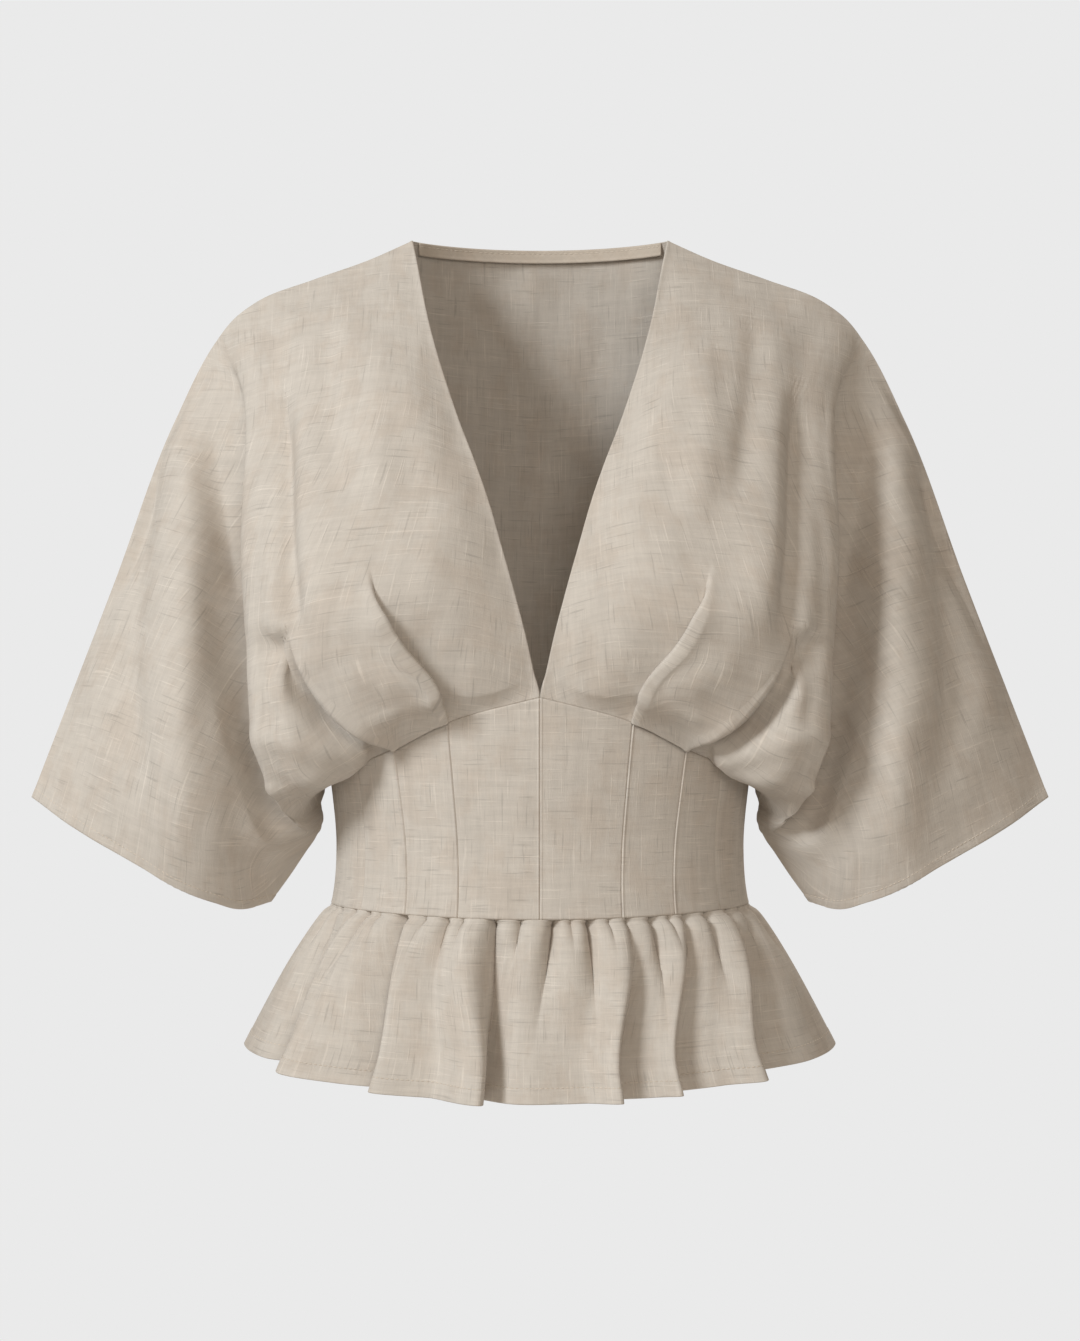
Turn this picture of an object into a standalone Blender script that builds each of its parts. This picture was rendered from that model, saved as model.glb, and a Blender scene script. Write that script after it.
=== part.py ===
"""Peplum top in woven linen: a deep V neck, elbow-length kimono sleeves cut in one with the bodice,
a fitted waist of shaped panels and a gathered peplum.

Run with blender --background --python part.py, or from Blender's text editor.
Metres, +Z up. The front faces -Y and the wearer's left is +X. The origin lies midway between the two
neck points, at the height where the top hangs from the wearer's shoulders.
"""

import math
from collections import namedtuple

import bpy
import numpy as np

# Driving sizes, in millimetres
MM = 0.001
CLOTH = 1.4  # wall of the cloth, with its turned edges
SEAM_GAP = 0.3  # between two pieces at a seam
BAND_WIDTH = 7.0  # bias band inside the back neck
BAND_CLOTH = 1.0
BAND_GAP = 0.5  # between the band and the curved neck that it lies in
SEAM_STAND = 5.0  # the bodice rises this far from the waist seam before it blouses out
STAND_LEAN = 0.5
CREVICE_GAP = 0.7  # more room at the underarm seam, where it turns down beside the waist
CREVICE_REACH = 25.0
NECK_DROP = 2.0  # centre of the back neck, below the neck points
NECK_DEPTH = 40.0  # centre of the back neck, behind the neck points

Point = namedtuple("Point", "name x y z")
Level = namedtuple("Level", "name z half_width front back")
Seam = namedtuple("Seam", "turn z")
Rib = namedtuple("Rib", "name shoulder chest bust hang tuck turn underarm")
Pleat = namedtuple("Pleat", "rib rise band overhang start full")
Crease = namedtuple("Crease", "name top middle foot width rise")
Fold = namedtuple("Fold", "place hem_turn rise")

# Shoulder seam and overarm seam in one line, from the neck point to the cuff
OVERARM = (
    Point("neck", 84, 0, 0),
    Point("shoulder_slope", 112, 0, -12.5),
    Point("shoulder_middle", 150, 0, -26),
    Point("shoulder_point", 186, 0, -40),
    Point("shoulder_round", 202, 0, -52),
    Point("sleeve_head", 213, 0, -66),
    Point("upper_arm", 240, 0, -118),
    Point("arm_middle", 279.5, 0, -224),
    Point("cuff", 335, 0, -367),
)

# Underarm seam, from the side of the waist seam to the cuff
UNDERARM = (
    Point("waist_side", 137, 0, -352),
    Point("crevice", 142, 1, -352.5),
    Point("arm_pit", 145, 3, -361),
    Point("arm_pit_low", 144.5, 3, -383),
    Point("sleeve_under", 157, 3, -405),
    Point("cuff", 181, 2, -439),
)

# Half sections of the body below the bust: they carry the waist panels
LEVELS = (
    Level("under_bust", -300, 144, 98, 90),
    Level("waist_top", -353, 137, 94, 86),
    Level("waist", -400, 133, 90, 81),
    Level("waist_low", -425, 134.5, 91, 82),
    Level("peplum_seam", -442, 137.5, 93, 84),
)

# Height of the seam between bodice and waist, by the turn round the body from the front (degrees)
WAIST_SEAM = (Seam(0, -300), Seam(24, -315.5), Seam(42, -333), Seam(90, -353), Seam(180, -352))

# Panel seams of the waist: their turn at the top and at the peplum (degrees)
PANEL_TURNS = {"centre": (0.0, 0.0), "inner": (24.4, 22.3), "outer": (41.8, 38.8), "side": (58.0, 57.5)}

# Ribs: lines of the cloth from the neck or overarm seam down to the waist or underarm seam, each a smooth
# curve through six points. shoulder is mm along the overarm seam, or below 0 along the back neck; turn is
# degrees round the waist; underarm is mm along that seam. The points between are x, y and z.
RIB_KNOTS = (0.0, 0.25, 0.5, 0.78, 0.93, 1.0)
FRONT_RIBS = (
    Rib("neck_edge", 0, (66, -63, -82), (34.5, -98, -172), (12.5, -104, -250), (3.5, -100, -287), 0.15, None),
    Rib("front", 38, (89, -73, -88), (67, -114, -180), (45, -117, -258), (32, -102, -298), 12.5, None),
    Rib("pleat_1", 72, (120, -77, -100), (109, -119, -212), (90, -115, -270), (64, -98, -308), 24.4, None),
    Rib("bust", 95, (144, -71, -104), (140, -115, -214), (118, -115, -286), (81, -94, -322), 33, None),
    Rib("pleat_2", 112, (162, -63, -110), (167, -101, -212), (146, -100, -290), (104, -84, -324), 41.8, None),
    Rib("under_pleat", 122, (174, -57, -114), (180, -87, -224), (150, -80, -350), (128, -60, -350), 62, None),
    Rib("side", 130, (183, -51, -117), (186, -77, -232), (165, -70, -357), (146, -38, -362), 90, 0),
    Rib("drape_edge", 138, (189, -46, -121), (187, -68, -236), (176, -64, -358), (158, -31, -377), None, 22),
    Rib("turn_back", 146, (189, -34, -124), (178, -47, -238), (167, -44, -355), (155, -20, -384), None, 31),
    Rib("valley", 165, (200, -24, -130), (172, -25, -244), (163, -24, -354), (154, -12, -388), None, 38),
    Rib("sleeve_inner", 190, (215, -28, -155), (194, -35, -252), (180, -35, -351), (165, -19, -393), None, 46),
    Rib("sleeve_front", 260, (248, -31, -201), (223, -44, -273), (193, -42, -353), (173, -20, -399), None, 58),
    Rib("sleeve_middle", 370, (283, -29, -285), (248, -43, -336), (205, -38, -391), (181, -15, -414), None, 76),
    Rib("cuff", 472, (307, -26, -384), (262, -40, -409), (213, -32, -434), (191, -11, -439), None, 98),
)
BACK_RIBS = (
    Rib("centre_back", -84, (0, 66, -75), (0, 87, -180), (0, 90, -280), (0, 87, -330), 180, None),
    Rib("back_neck", -40, (44, 66, -77), (46, 90, -180), (44, 95, -286), (42, 85, -333), 160, None),
    Rib("neck_point", 0, (90, 58, -86), (90, 91, -186), (84, 98, -298), (79, 76, -339), 143, None),
    Rib("shoulder_blade", 72, (132, 54, -98), (131, 86, -196), (119, 93, -314), (107, 61, -345), 126, None),
    Rib("side_back", 112, (166, 43, -110), (167, 73, -212), (149, 77, -345), (130, 42, -350), 107, None),
    Rib("side", 130, (184, 35, -119), (186, 59, -230), (164, 57, -357), (145, 28, -362), 90, 0),
    Rib("drape_edge", 138, (191, 28, -122), (189, 47, -236), (172, 47, -358), (157, 26, -377), None, 22),
    Rib("valley", 165, (204, 19, -128), (183, 27, -242), (169, 25, -354), (156, 14, -387), None, 38),
    Rib("sleeve_inner", 190, (217, 23, -153), (200, 34, -251), (184, 34, -350), (167, 18, -393), None, 46),
    Rib("sleeve_back", 260, (249, 28, -203), (224, 42, -275), (194, 40, -355), (173, 18, -399), None, 58),
    Rib("sleeve_middle", 370, (284, 26, -286), (249, 41, -338), (206, 36, -392), (181, 15, -414), None, 76),
    Rib("cuff", 472, (307, 25, -384), (262, 38, -408), (213, 30, -433), (191, 11, -438), None, 98),
)

# Knife pleats of a front, each along a rib. start and full are places down the rib, from 0 to 1. A pleat
# with a negative rise steps down towards the sleeve.
PLEATS = (
    Pleat("pleat_1", 11.0, 4.0, 1.6, 0.36, 0.66),
    Pleat("pleat_2", -12.0, 4.5, 1.8, 0.52, 0.80),
)
PLEAT_REACH = 26.0  # the raised side of a pleat sinks back over this width
STAND_ROW = 0.965  # place down the rib of the row that stands over the waist seam

# Soft folds of a front, as seen from the front: x and z of the top, middle and foot of each
CREASES = (
    Crease("side_trough", (158, -150), (158, -215), (150, -262), 9, -5),
    Crease("shoulder_trough", (140, -60), (132, -120), (122, -175), 10, -3.5),
    Crease("sleeve_ridge", (232, -120), (236, -210), (238, -330), 12, 5),
    Crease("sleeve_trough", (216, -150), (208, -230), (198, -290), 10, -5),
    Crease("outer_trough", (252, -150), (270, -230), (268, -300), 9, -4),
)
BODY_CREASES = 2  # the first of them lie on the body, the others on the sleeve

# Rows of each grid, from its top edge at 0 to its foot at 1. A bodice piece has two more, at the stand
# and at its foot.
FRONT_ROWS = (0, 0.06, 0.13, 0.19, 0.25, 0.33, 0.42, 0.5, 0.57, 0.64, 0.7, 0.75, 0.79, 0.83, 0.88, 0.93)
BACK_ROWS = (0, 0.03, 0.09, 0.17, 0.25, 0.36, 0.5, 0.6, 0.69, 0.78, 0.85, 0.93)
PEPLUM_ROWS = (0, 0.03, 0.1, 0.2, 0.34, 0.52, 0.75, 1)

# Large folds of the peplum, across the front from the wearer's right. place counts the gathers in the
# seam from the side: a whole number is the crest of a gather and a half is the valley beside it.
GATHERS = 24
GATHER_RISE = 2.6
SEAM_SWELL = 0.3  # share of a gather's height at the seam itself
PEPLUM_FOLDS = (
    Fold(0, -90, 0),
    Fold(2, -64, 3),
    Fold(3.5, -54.5, -8),
    Fold(4, -50, 8),
    Fold(5.5, -38.5, 5),
    Fold(6.5, -28, -9),
    Fold(7, -27, 6),
    Fold(8.5, -19.5, 1),
    Fold(10, -11.5, 11),
    Fold(10.5, -11, -4),
    Fold(11.5, -3.5, 3),
    Fold(12.5, 2.5, 1),
    Fold(13.5, 8, 1),
    Fold(15, 14.5, 9),
    Fold(15.5, 14, -8),
    Fold(16, 20, 0),
    Fold(17, 26, 8),
    Fold(17.5, 28, -8),
    Fold(18.5, 35, 0),
    Fold(20, 45, 9),
    Fold(20.5, 49, -7),
    Fold(22, 61, 3),
    Fold(24, 90, 0),
)
PEPLUM_DROP = {"front": 112.0, "side": 91.0, "back": 104.0}
PEPLUM_FLARE = {"front": 46.0, "side": 56.0, "back": 50.0}
FLARE_START = 0.03  # the top of the peplum stands straight under the seam
FLARE_POWER = 0.8  # then the cloth springs out and hangs

MATERIALS = {
    "linen": ((0.62, 0.55, 0.46, 1.0), 0.85),
    "linen_band": ((0.50, 0.44, 0.37, 1.0), 0.88),
}


# Curves and grids

def spline(knots, values, at):
    """A smooth curve through the values: at each knot its slope is that of the parabola through
    the knot and its two neighbours."""
    knots = np.asarray(knots, float)
    values = np.asarray(values, float)
    at = np.clip(np.asarray(at, float), knots[0], knots[-1])
    shape = (-1,) + (1,) * (values.ndim - 1)
    steps = np.diff(knots).reshape(shape)
    chords = np.diff(values, axis=0) / steps
    slopes = np.concatenate([chords[:1], chords[:1], chords[1:]])
    slopes[1:-1] = (chords[:-1] * steps[1:] + chords[1:] * steps[:-1]) / (steps[:-1] + steps[1:])
    left = np.clip(np.searchsorted(knots, at, side="right") - 1, 0, len(knots) - 2)
    step = steps[left]
    t = (at - knots[left]).reshape(shape) / step
    return (
        values[left] * (1 + 2 * t) * (1 - t) ** 2
        + slopes[left] * step * t * (1 - t) ** 2
        + values[left + 1] * t**2 * (3 - 2 * t)
        + slopes[left + 1] * step * t**2 * (t - 1)
    )


def smooth_step(t):
    t = np.clip(t, 0, 1)
    return t * t * (3 - 2 * t)


def along(points, distance):
    """Places at distances in mm along a seam that is given as named points."""
    places = np.array([point[1:] for point in points], float)
    knots = np.concatenate([[0], np.cumsum(np.linalg.norm(np.diff(places, axis=0), axis=1))])
    return spline(knots, places, distance)


def body_section(z):
    """Half width, front depth and back depth of the body at a height."""
    heights = [level.z for level in LEVELS][::-1]
    sizes = [level[2:] for level in LEVELS][::-1]
    return spline(heights, sizes, z)


def body_point(turn, z):
    """Points on the body at these turns (degrees from the front, positive to the wearer's left)."""
    turn, z = np.broadcast_arrays(np.asarray(turn, float), np.asarray(z, float))
    size = body_section(z.ravel()).reshape(z.shape + (3,))
    angle = np.radians(turn)
    depth = np.where(np.cos(angle) > 0, size[..., 1], size[..., 2])
    return np.stack([size[..., 0] * np.sin(angle), -depth * np.cos(angle), z], axis=-1)


def waist_seam(turn):
    """Height of the seam between bodice and waist at a turn of up to 180 degrees either way."""
    turn = np.abs(np.asarray(turn, float))
    heights = spline([seam.turn for seam in WAIST_SEAM], [seam.z for seam in WAIST_SEAM], turn.ravel())
    return heights.reshape(turn.shape)


def peplum_seam(turn):
    """Height of the seam between waist and peplum at a turn: a little higher at the sides."""
    return -439.0 - 2.5 * np.cos(np.radians(2 * np.asarray(turn, float)))


def top_edge(shoulder):
    """Points of the top edge: along the overarm seam, or below 0 round the back neck, which is a
    flat-bottomed curve between the two neck points."""
    neck_x = OVERARM[0].x + np.minimum(shoulder, 0)
    share = (1 - (neck_x / OVERARM[0].x) ** 2) ** 0.8
    neck = np.stack([neck_x, NECK_DEPTH * share, -NECK_DROP * share], axis=-1)
    arm = along(OVERARM, np.maximum(shoulder, 0))
    return np.where(shoulder[:, None] < 0, neck, arm)


def cloth_grid(ribs, across, down):
    """A smooth sheet through the ribs. across is the rib index of each column, down the place on the
    rib of each row. The top and bottom rows lie exactly on the seams, so that front and back meet."""
    side = [rib.name for rib in ribs].index("side")
    index = np.arange(len(ribs))
    turns = [rib.turn for rib in ribs[: side + 1]]
    unders = [rib.underarm for rib in ribs[side:]]
    shoulders = [rib.shoulder for rib in ribs]

    def edges(at):
        waist = np.interp(at, index[: side + 1], turns)
        foot = body_point(waist, waist_seam(waist))
        arm = along(UNDERARM, np.interp(at, index[side:], unders))
        return top_edge(np.interp(at, index, shoulders)), np.where(at[:, None] <= side, foot, arm)

    tops, feet = edges(index.astype(float))
    keys = np.array([[top, *rib[2:6], foot] for rib, top, foot in zip(ribs, tops, feet)], float)
    gaps = np.linalg.norm(np.diff(keys, axis=0), axis=2).mean(axis=1)
    knots = np.concatenate([[0], np.cumsum(gaps)])
    rows = np.stack([spline(RIB_KNOTS, key, down) for key in keys])
    grid = spline(knots, rows, np.interp(across, index, knots))
    grid[:, 0], grid[:, -1] = edges(across)
    return stand_at_seam(grid, across, side)


def stand_at_seam(grid, across, side):
    """Over the waist seam the cloth first rises straight from it: the row above the seam is set over
    the seam's own points, a little outside them."""
    share = smooth_step((side + 0.8 - across) / 0.7)[:, None]
    outwards = unit(grid[:, -1] * np.array([1.0, 1.0, 0.0]))
    stand = grid[:, -1] + outwards * STAND_LEAN + np.array([0, 0, SEAM_STAND])
    grid[:, -2] = grid[:, -2] * (1 - share) + stand * share
    return grid


def normals(grid):
    """Unit normals of a grid, on its outer side: down its rows crossed with across its columns."""
    normal = np.cross(np.gradient(grid, axis=1), np.gradient(grid, axis=0))
    return normal / np.maximum(np.linalg.norm(normal, axis=2, keepdims=True), 1e-9)


def unit(vectors):
    return vectors / np.maximum(np.linalg.norm(vectors, axis=-1, keepdims=True), 1e-9)


def distance_from(grid, across, index):
    """Signed distance in mm of each point of the grid from the column at a rib, along its row."""
    steps = np.linalg.norm(np.diff(grid, axis=0), axis=2)
    run = np.concatenate([np.zeros((1, grid.shape[1])), np.cumsum(steps, axis=0)])
    here = np.array([np.interp(index, across, run[:, row]) for row in range(grid.shape[1])])
    return run - here


def fold_pleats(grid, across, down, names):
    """Raises each knife pleat: the cloth steps up over a narrow band beside its rib, and the step
    leans over to the lower side."""
    folded = grid.copy()
    out = normals(grid)
    side = unit(np.gradient(grid, axis=0))
    for pleat in PLEATS:
        away = distance_from(grid, across, names.index(pleat.rib)) * np.sign(pleat.rise)
        strength = smooth_step((down - pleat.start) / (pleat.full - pleat.start))
        strength = strength * smooth_step((STAND_ROW - down) / 0.09)
        step = np.clip(away / pleat.band, -1, 1)
        height = abs(pleat.rise) * 0.5 * (1 + np.sin(step * math.pi / 2))
        height = height * np.exp(-np.maximum(away - pleat.band, 0) / PLEAT_REACH)
        lean = -pleat.overhang * np.sign(pleat.rise) * np.sin(step * math.pi)
        folded += out * (height * strength)[..., None] + side * (lean * strength)[..., None]
    return folded


def fold_creases(grid, creases, mask):
    """Adds each soft fold along the sheet's normal. Its line is a bow through top, middle and foot as
    seen from the front, and it fades towards both ends."""
    out = normals(grid)
    folded = grid.copy()
    for crease in creases:
        ends = np.array([crease.top, crease.middle, crease.foot], float)
        t = np.linspace(0, 1, 33)[:, None]
        line = ends[0] * (1 - t) * (1 - 2 * t) + ends[1] * 4 * t * (1 - t) + ends[2] * t * (2 * t - 1)
        flat = np.abs(grid[..., 0])[..., None] - line[:, 0], grid[..., 2][..., None] - line[:, 1]
        away = np.hypot(*flat)
        nearest = away.argmin(axis=2)
        fade = np.sin(math.pi * t[nearest, 0]) ** 0.7
        rise = crease.rise * np.exp(-((away.min(axis=2) / crease.width) ** 2)) * fade
        folded += out * (rise * mask)[..., None]
    return folded


def trimmed(grid, **amounts):
    """Draws the named edges of a grid back from the seam, along the cloth, by these amounts in mm."""
    grid = grid.copy()
    ends = {
        "first_column": (0, 1),
        "last_column": (-1, -2),
        "first_row": ((slice(None), 0), (slice(None), 1)),
        "last_row": ((slice(None), -1), (slice(None), -2)),
    }
    for edge, amount in amounts.items():
        at, inner = ends[edge]
        grid[at] = grid[at] + unit(grid[inner] - grid[at]) * np.reshape(amount, (-1, 1))
    return grid


def mirrored(grid):
    """The same sheet on the wearer's right, with its columns in the other order."""
    return grid[::-1] * np.array([-1.0, 1.0, 1.0])


# Pieces

def cloth_material(name):
    material = bpy.data.materials.new(name)
    material.use_nodes = True
    shader = material.node_tree.nodes["Principled BSDF"]
    shader.inputs["Base Color"].default_value, shader.inputs["Roughness"].default_value = MATERIALS[name]
    shader.inputs["Metallic"].default_value = 0.0
    return material


def sheet_object(name, grid, material, collection, thickness=CLOTH, offset=1.0):
    """A wall of cloth: the grid is its inner face, and Solidify gives its thickness outwards."""
    columns, rows = grid.shape[:2]
    index = np.arange(columns * rows).reshape(columns, rows)
    faces = np.stack([index[:-1, :-1], index[:-1, 1:], index[1:, 1:], index[1:, :-1]], axis=-1)
    mesh = bpy.data.meshes.new(name)
    mesh.from_pydata((grid.reshape(-1, 3) * MM).tolist(), [], faces.reshape(-1, 4).tolist())
    mesh.materials.append(material)
    mesh.shade_smooth()
    piece = bpy.data.objects.new(name, mesh)
    collection.objects.link(piece)
    wall = piece.modifiers.new("cloth", "SOLIDIFY")
    wall.thickness = thickness * MM
    wall.offset = offset
    wall.use_even_offset = False
    return piece


def columns_between(counts):
    """Rib indices of the columns: counts[i] steps between rib i and rib i + 1."""
    places = [start + step / count for start, count in enumerate(counts) for step in range(count)]
    return np.array(places + [len(counts)])


def underarm_ease(across, ribs):
    """How far each column's foot is drawn back from the seam: more where the seam turns down beside
    the waist, because the cloth folds inwards there."""
    side = [rib.name for rib in ribs].index("side")
    unders = [rib.underarm for rib in ribs[side:]]
    distance = np.interp(across, np.arange(side, len(ribs)), unders)
    crevice = CREVICE_GAP * np.exp(-((distance / CREVICE_REACH) ** 2))
    return SEAM_GAP / 2 + crevice * smooth_step((across - side + 1) / 1.0)


def front_grid():
    """The front on the wearer's left, with its sleeve, pleats and soft folds."""
    names = [rib.name for rib in FRONT_RIBS]
    across = columns_between((2, 3, 2, 2, 2, 2, 4, 1, 1, 2, 3, 3, 3))
    beside_pleats = [names.index(pleat.rib) + shift for pleat in PLEATS for shift in (-0.11, 0.11)]
    across = np.unique(np.concatenate([across, beside_pleats]))
    down = np.array(FRONT_ROWS + (STAND_ROW, 1))
    grid = cloth_grid(FRONT_RIBS, across, down)
    grid = fold_pleats(grid, across, down, names)
    above_seam = smooth_step((1 - down) / 0.12)
    body = smooth_step(names.index("drape_edge") - across)[:, None] * above_seam
    sleeve = smooth_step(across - names.index("valley"))[:, None] * above_seam
    grid = fold_creases(grid, CREASES[:BODY_CREASES], body)
    grid = fold_creases(grid, CREASES[BODY_CREASES:], sleeve)
    return trimmed(grid, first_row=SEAM_GAP / 2, last_row=underarm_ease(across, FRONT_RIBS))


def back_grid():
    """The back with both sleeves, from the wearer's right cuff to the left."""
    across = columns_between((3, 3, 3, 2, 2, 4, 2, 2, 3, 3, 3))
    half = cloth_grid(BACK_RIBS, across, np.array(BACK_ROWS + (STAND_ROW, 1)))
    half = trimmed(half, first_row=SEAM_GAP / 2, last_row=underarm_ease(across, BACK_RIBS))
    return np.concatenate([mirrored(half), half[1:]])


def neck_band_grid(back):
    """The bias band inside the back neck: the top of the back's own inner face, moved in."""
    columns = np.abs(back[:, 0, 0]) < OVERARM[0].x - 1.0
    strip = back[columns]
    inwards = -normals(back)[columns, :1]
    steps = np.linalg.norm(np.diff(strip, axis=1), axis=2)
    depth = np.concatenate([np.zeros((len(strip), 1)), np.cumsum(steps, axis=1)], axis=1)
    widths = np.linspace(0, BAND_WIDTH, 3)
    rows = [
        [np.interp(widths, run, line[:, axis]) for axis in range(3)]
        for run, line in zip(depth, strip)
    ]
    return np.array(rows).transpose(0, 2, 1) + inwards * BAND_GAP


def waist_grid(first, last, columns, rows=6):
    """A panel of the waist between two panel seams, each given as its turn at the top and bottom."""
    share = np.linspace(0, 1, columns)[:, None]
    down = np.linspace(0, 1, rows)[None, :]
    top = first[0] + (last[0] - first[0]) * share
    foot = first[1] + (last[1] - first[1]) * share
    turn = top + (foot - top) * down
    z = waist_seam((turn + 180) % 360 - 180) * (1 - down) + peplum_seam(turn) * down
    gap = SEAM_GAP / 2
    return trimmed(body_point(turn, z), first_row=gap, last_row=gap, first_column=gap, last_column=gap)


def around(sizes, turn):
    """A size that changes smoothly from the front to the side to the back."""
    cosine = np.cos(np.radians(turn))
    end = np.where(cosine > 0, sizes["front"], sizes["back"])
    return sizes["side"] + (end - sizes["side"]) * cosine**2


def peplum_grid(folds, middle):
    """Half of the peplum, from one side seam to the other round the turn at its middle. Each gather
    has four columns. Below the seam the small gathers fade and the cloth goes over to its large folds."""
    place = np.linspace(0, GATHERS, 4 * GATHERS + 1)
    lines = spline([fold.place for fold in folds], [fold[1:] for fold in folds], place)
    t = np.array(PEPLUM_ROWS)[None, :]
    seam_turn = (place / GATHERS - 0.5)[:, None] * 180 + middle
    hem_turn = lines[:, :1] + middle
    turn = seam_turn + (hem_turn - seam_turn) * smooth_step(t * 1.15)
    base = body_point(turn, peplum_seam(turn))
    out = unit(base * np.array([1.0, 1.0, 0.0]))
    round_once = 2 * math.pi * place[:, None] / GATHERS
    height = GATHER_RISE * (1 + 0.35 * np.sin(5 * round_once))
    fade = 0.24 + 0.1 * np.sin(7 * round_once)
    swell = SEAM_SWELL + (1 - SEAM_SWELL) * smooth_step(t / 0.1)
    gather = height * (1 + np.cos(2 * math.pi * place[:, None])) * swell * np.exp(-t / fade)
    fall = np.maximum(t - FLARE_START, 0) / (1 - FLARE_START)
    spread = around(PEPLUM_FLARE, turn) * fall**FLARE_POWER + lines[:, 1:] * smooth_step(t * 1.1) + gather
    grid = base + out * spread[..., None]
    grid[..., 2] -= around(PEPLUM_DROP, turn) * t
    return trimmed(grid, first_row=SEAM_GAP / 2, first_column=SEAM_GAP / 2, last_column=SEAM_GAP / 2)


def build():
    for old in list(bpy.data.objects):
        bpy.data.objects.remove(old)
    top = bpy.data.collections.new("peplum_top")
    bpy.context.scene.collection.children.link(top)
    linen = cloth_material("linen")

    front = front_grid()
    sheet_object("bodice_front_left", front, linen, top)
    sheet_object("bodice_front_right", mirrored(front), linen, top)
    back = back_grid()[::-1]
    sheet_object("bodice_back", back, linen, top)
    sheet_object("neck_band", neck_band_grid(back), cloth_material("linen_band"), top, BAND_CLOTH, -1.0)

    turns = PANEL_TURNS
    for name, first, last, columns in (
        ("centre", "centre", "inner", 5),
        ("front", "inner", "outer", 4),
        ("side", "outer", "side", 4),
    ):
        panel = waist_grid(turns[first], turns[last], columns)
        sheet_object(f"waist_{name}_left", panel, linen, top)
        sheet_object(f"waist_{name}_right", mirrored(panel), linen, top)
    far_side = tuple(360 - turn for turn in turns["side"])
    sheet_object("waist_back", waist_grid(turns["side"], far_side, 23), linen, top)

    sheet_object("peplum_front", peplum_grid(PEPLUM_FOLDS, 0), linen, top)
    back_folds = [Fold(GATHERS - fold.place, -fold.hem_turn, fold.rise) for fold in PEPLUM_FOLDS[::-1]]
    sheet_object("peplum_back", peplum_grid(back_folds, 180), linen, top)


build()
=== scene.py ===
# %% [markdown]
# # A linen peplum top
# The real top is cut from thirteen pieces of slubbed linen: two fronts and a back, each in one with its
# sleeves, a bias band in the back neck, seven shaped panels at the waist and a peplum in two halves.
# This lesson dresses a plain model of that cut. Every piece is a surface worked out with numpy, as a
# function of two parameters on a grid, so a fold is a term in a formula and can be moved or made deeper
# by its own size. Lengths in the tables are in millimetres; meshes are in metres.

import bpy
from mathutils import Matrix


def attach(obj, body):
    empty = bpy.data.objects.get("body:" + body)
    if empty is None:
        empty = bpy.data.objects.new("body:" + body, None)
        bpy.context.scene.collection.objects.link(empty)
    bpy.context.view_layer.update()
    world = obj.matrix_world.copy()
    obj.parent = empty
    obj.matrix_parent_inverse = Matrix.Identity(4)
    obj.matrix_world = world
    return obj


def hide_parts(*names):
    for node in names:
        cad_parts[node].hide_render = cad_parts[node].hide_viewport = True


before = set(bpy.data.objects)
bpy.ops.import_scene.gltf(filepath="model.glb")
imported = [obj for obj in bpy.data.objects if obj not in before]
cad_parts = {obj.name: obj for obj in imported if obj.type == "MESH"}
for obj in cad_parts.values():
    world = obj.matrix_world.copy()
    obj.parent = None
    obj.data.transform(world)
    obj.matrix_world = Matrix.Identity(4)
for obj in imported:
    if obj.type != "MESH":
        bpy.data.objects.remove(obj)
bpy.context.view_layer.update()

# %% Libraries and the cloth's sizes
import math
from collections import namedtuple

import bpy
import numpy as np
from mathutils import Vector

scene = bpy.context.scene
MM = 0.001
CLOTH_IN = 0.25  # mm from the plain wall's inner face to this cloth's inner face
CLOTH_OUT = 1.25  # and to its outer face
SEAM_TURN = 0.7  # mm of cloth that rolls in at a seam
SHOULDER_TURN = 0.3  # and at the overarm seam, which is pressed flat
HEM_WIDTH = 10.0  # mm from the peplum's edge to its stitching
CUFF_HEM = 6.0
BAND_WIDTH = 8.0

Point = namedtuple("Point", "name x y z")
Level = namedtuple("Level", "name z half_width front back")
Seam = namedtuple("Seam", "turn z")
Rib = namedtuple("Rib", "name shoulder chest bust hang tuck turn underarm", defaults=(None,))
Pleat = namedtuple("Pleat", "rib rise band overhang towards reach start full ease at_seam")
Crease = namedtuple("Crease", "name top middle foot left right rise")
Fold = namedtuple("Fold", "place hem_turn rise")

# %% [markdown]
# ## The lines of the cut
# A pattern cutter thinks in seams. The overarm seam runs from the neck point over the shoulder to the
# cuff, the underarm seam from the side of the waist to the cuff, and the waist seam rises to a point
# under the V neck. Each is a short table, and a smooth curve passes through its rows.

# %% Seams and body sections
OVERARM = (
    Point("neck", 84, 0, 0),
    Point("shoulder_slope", 112, 0, -12.5),
    Point("shoulder_middle", 150, 0, -26),
    Point("shoulder_point", 186, 0, -40),
    Point("shoulder_round", 202, 0, -52),
    Point("sleeve_head", 213, 0, -66),
    Point("upper_arm", 240, 0, -118),
    Point("arm_middle", 279.5, 0, -224),
    Point("cuff", 335, 0, -367),
)
UNDERARM = (
    Point("waist_side", 137, 0, -352),
    Point("crevice", 142, 1, -352.5),
    Point("arm_pit", 145, 3, -361),
    Point("arm_pit_low", 144.5, 3, -383),
    Point("sleeve_under", 157, 3, -405),
    Point("cuff", 181, 2, -439),
)
LEVELS = (
    Level("under_bust", -300, 144, 98, 90),
    Level("waist_top", -353, 137, 94, 86),
    Level("waist", -400, 133, 90, 81),
    Level("waist_low", -425, 134.5, 91, 82),
    Level("peplum_seam", -442, 137.5, 93, 84),
)
WAIST_SEAM = (Seam(0, -300), Seam(24, -315.5), Seam(42, -333), Seam(90, -353), Seam(180, -352))
PANEL_TURNS = {"centre": (0.0, 0.0), "inner": (24.4, 22.3), "outer": (41.8, 38.8), "side": (58.0, 57.5)}
PEPLUM_SEAM = (-439.0, 2.5)  # its mean height, and how far it sinks at the front and back
NECK_DROP = 2.0
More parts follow.
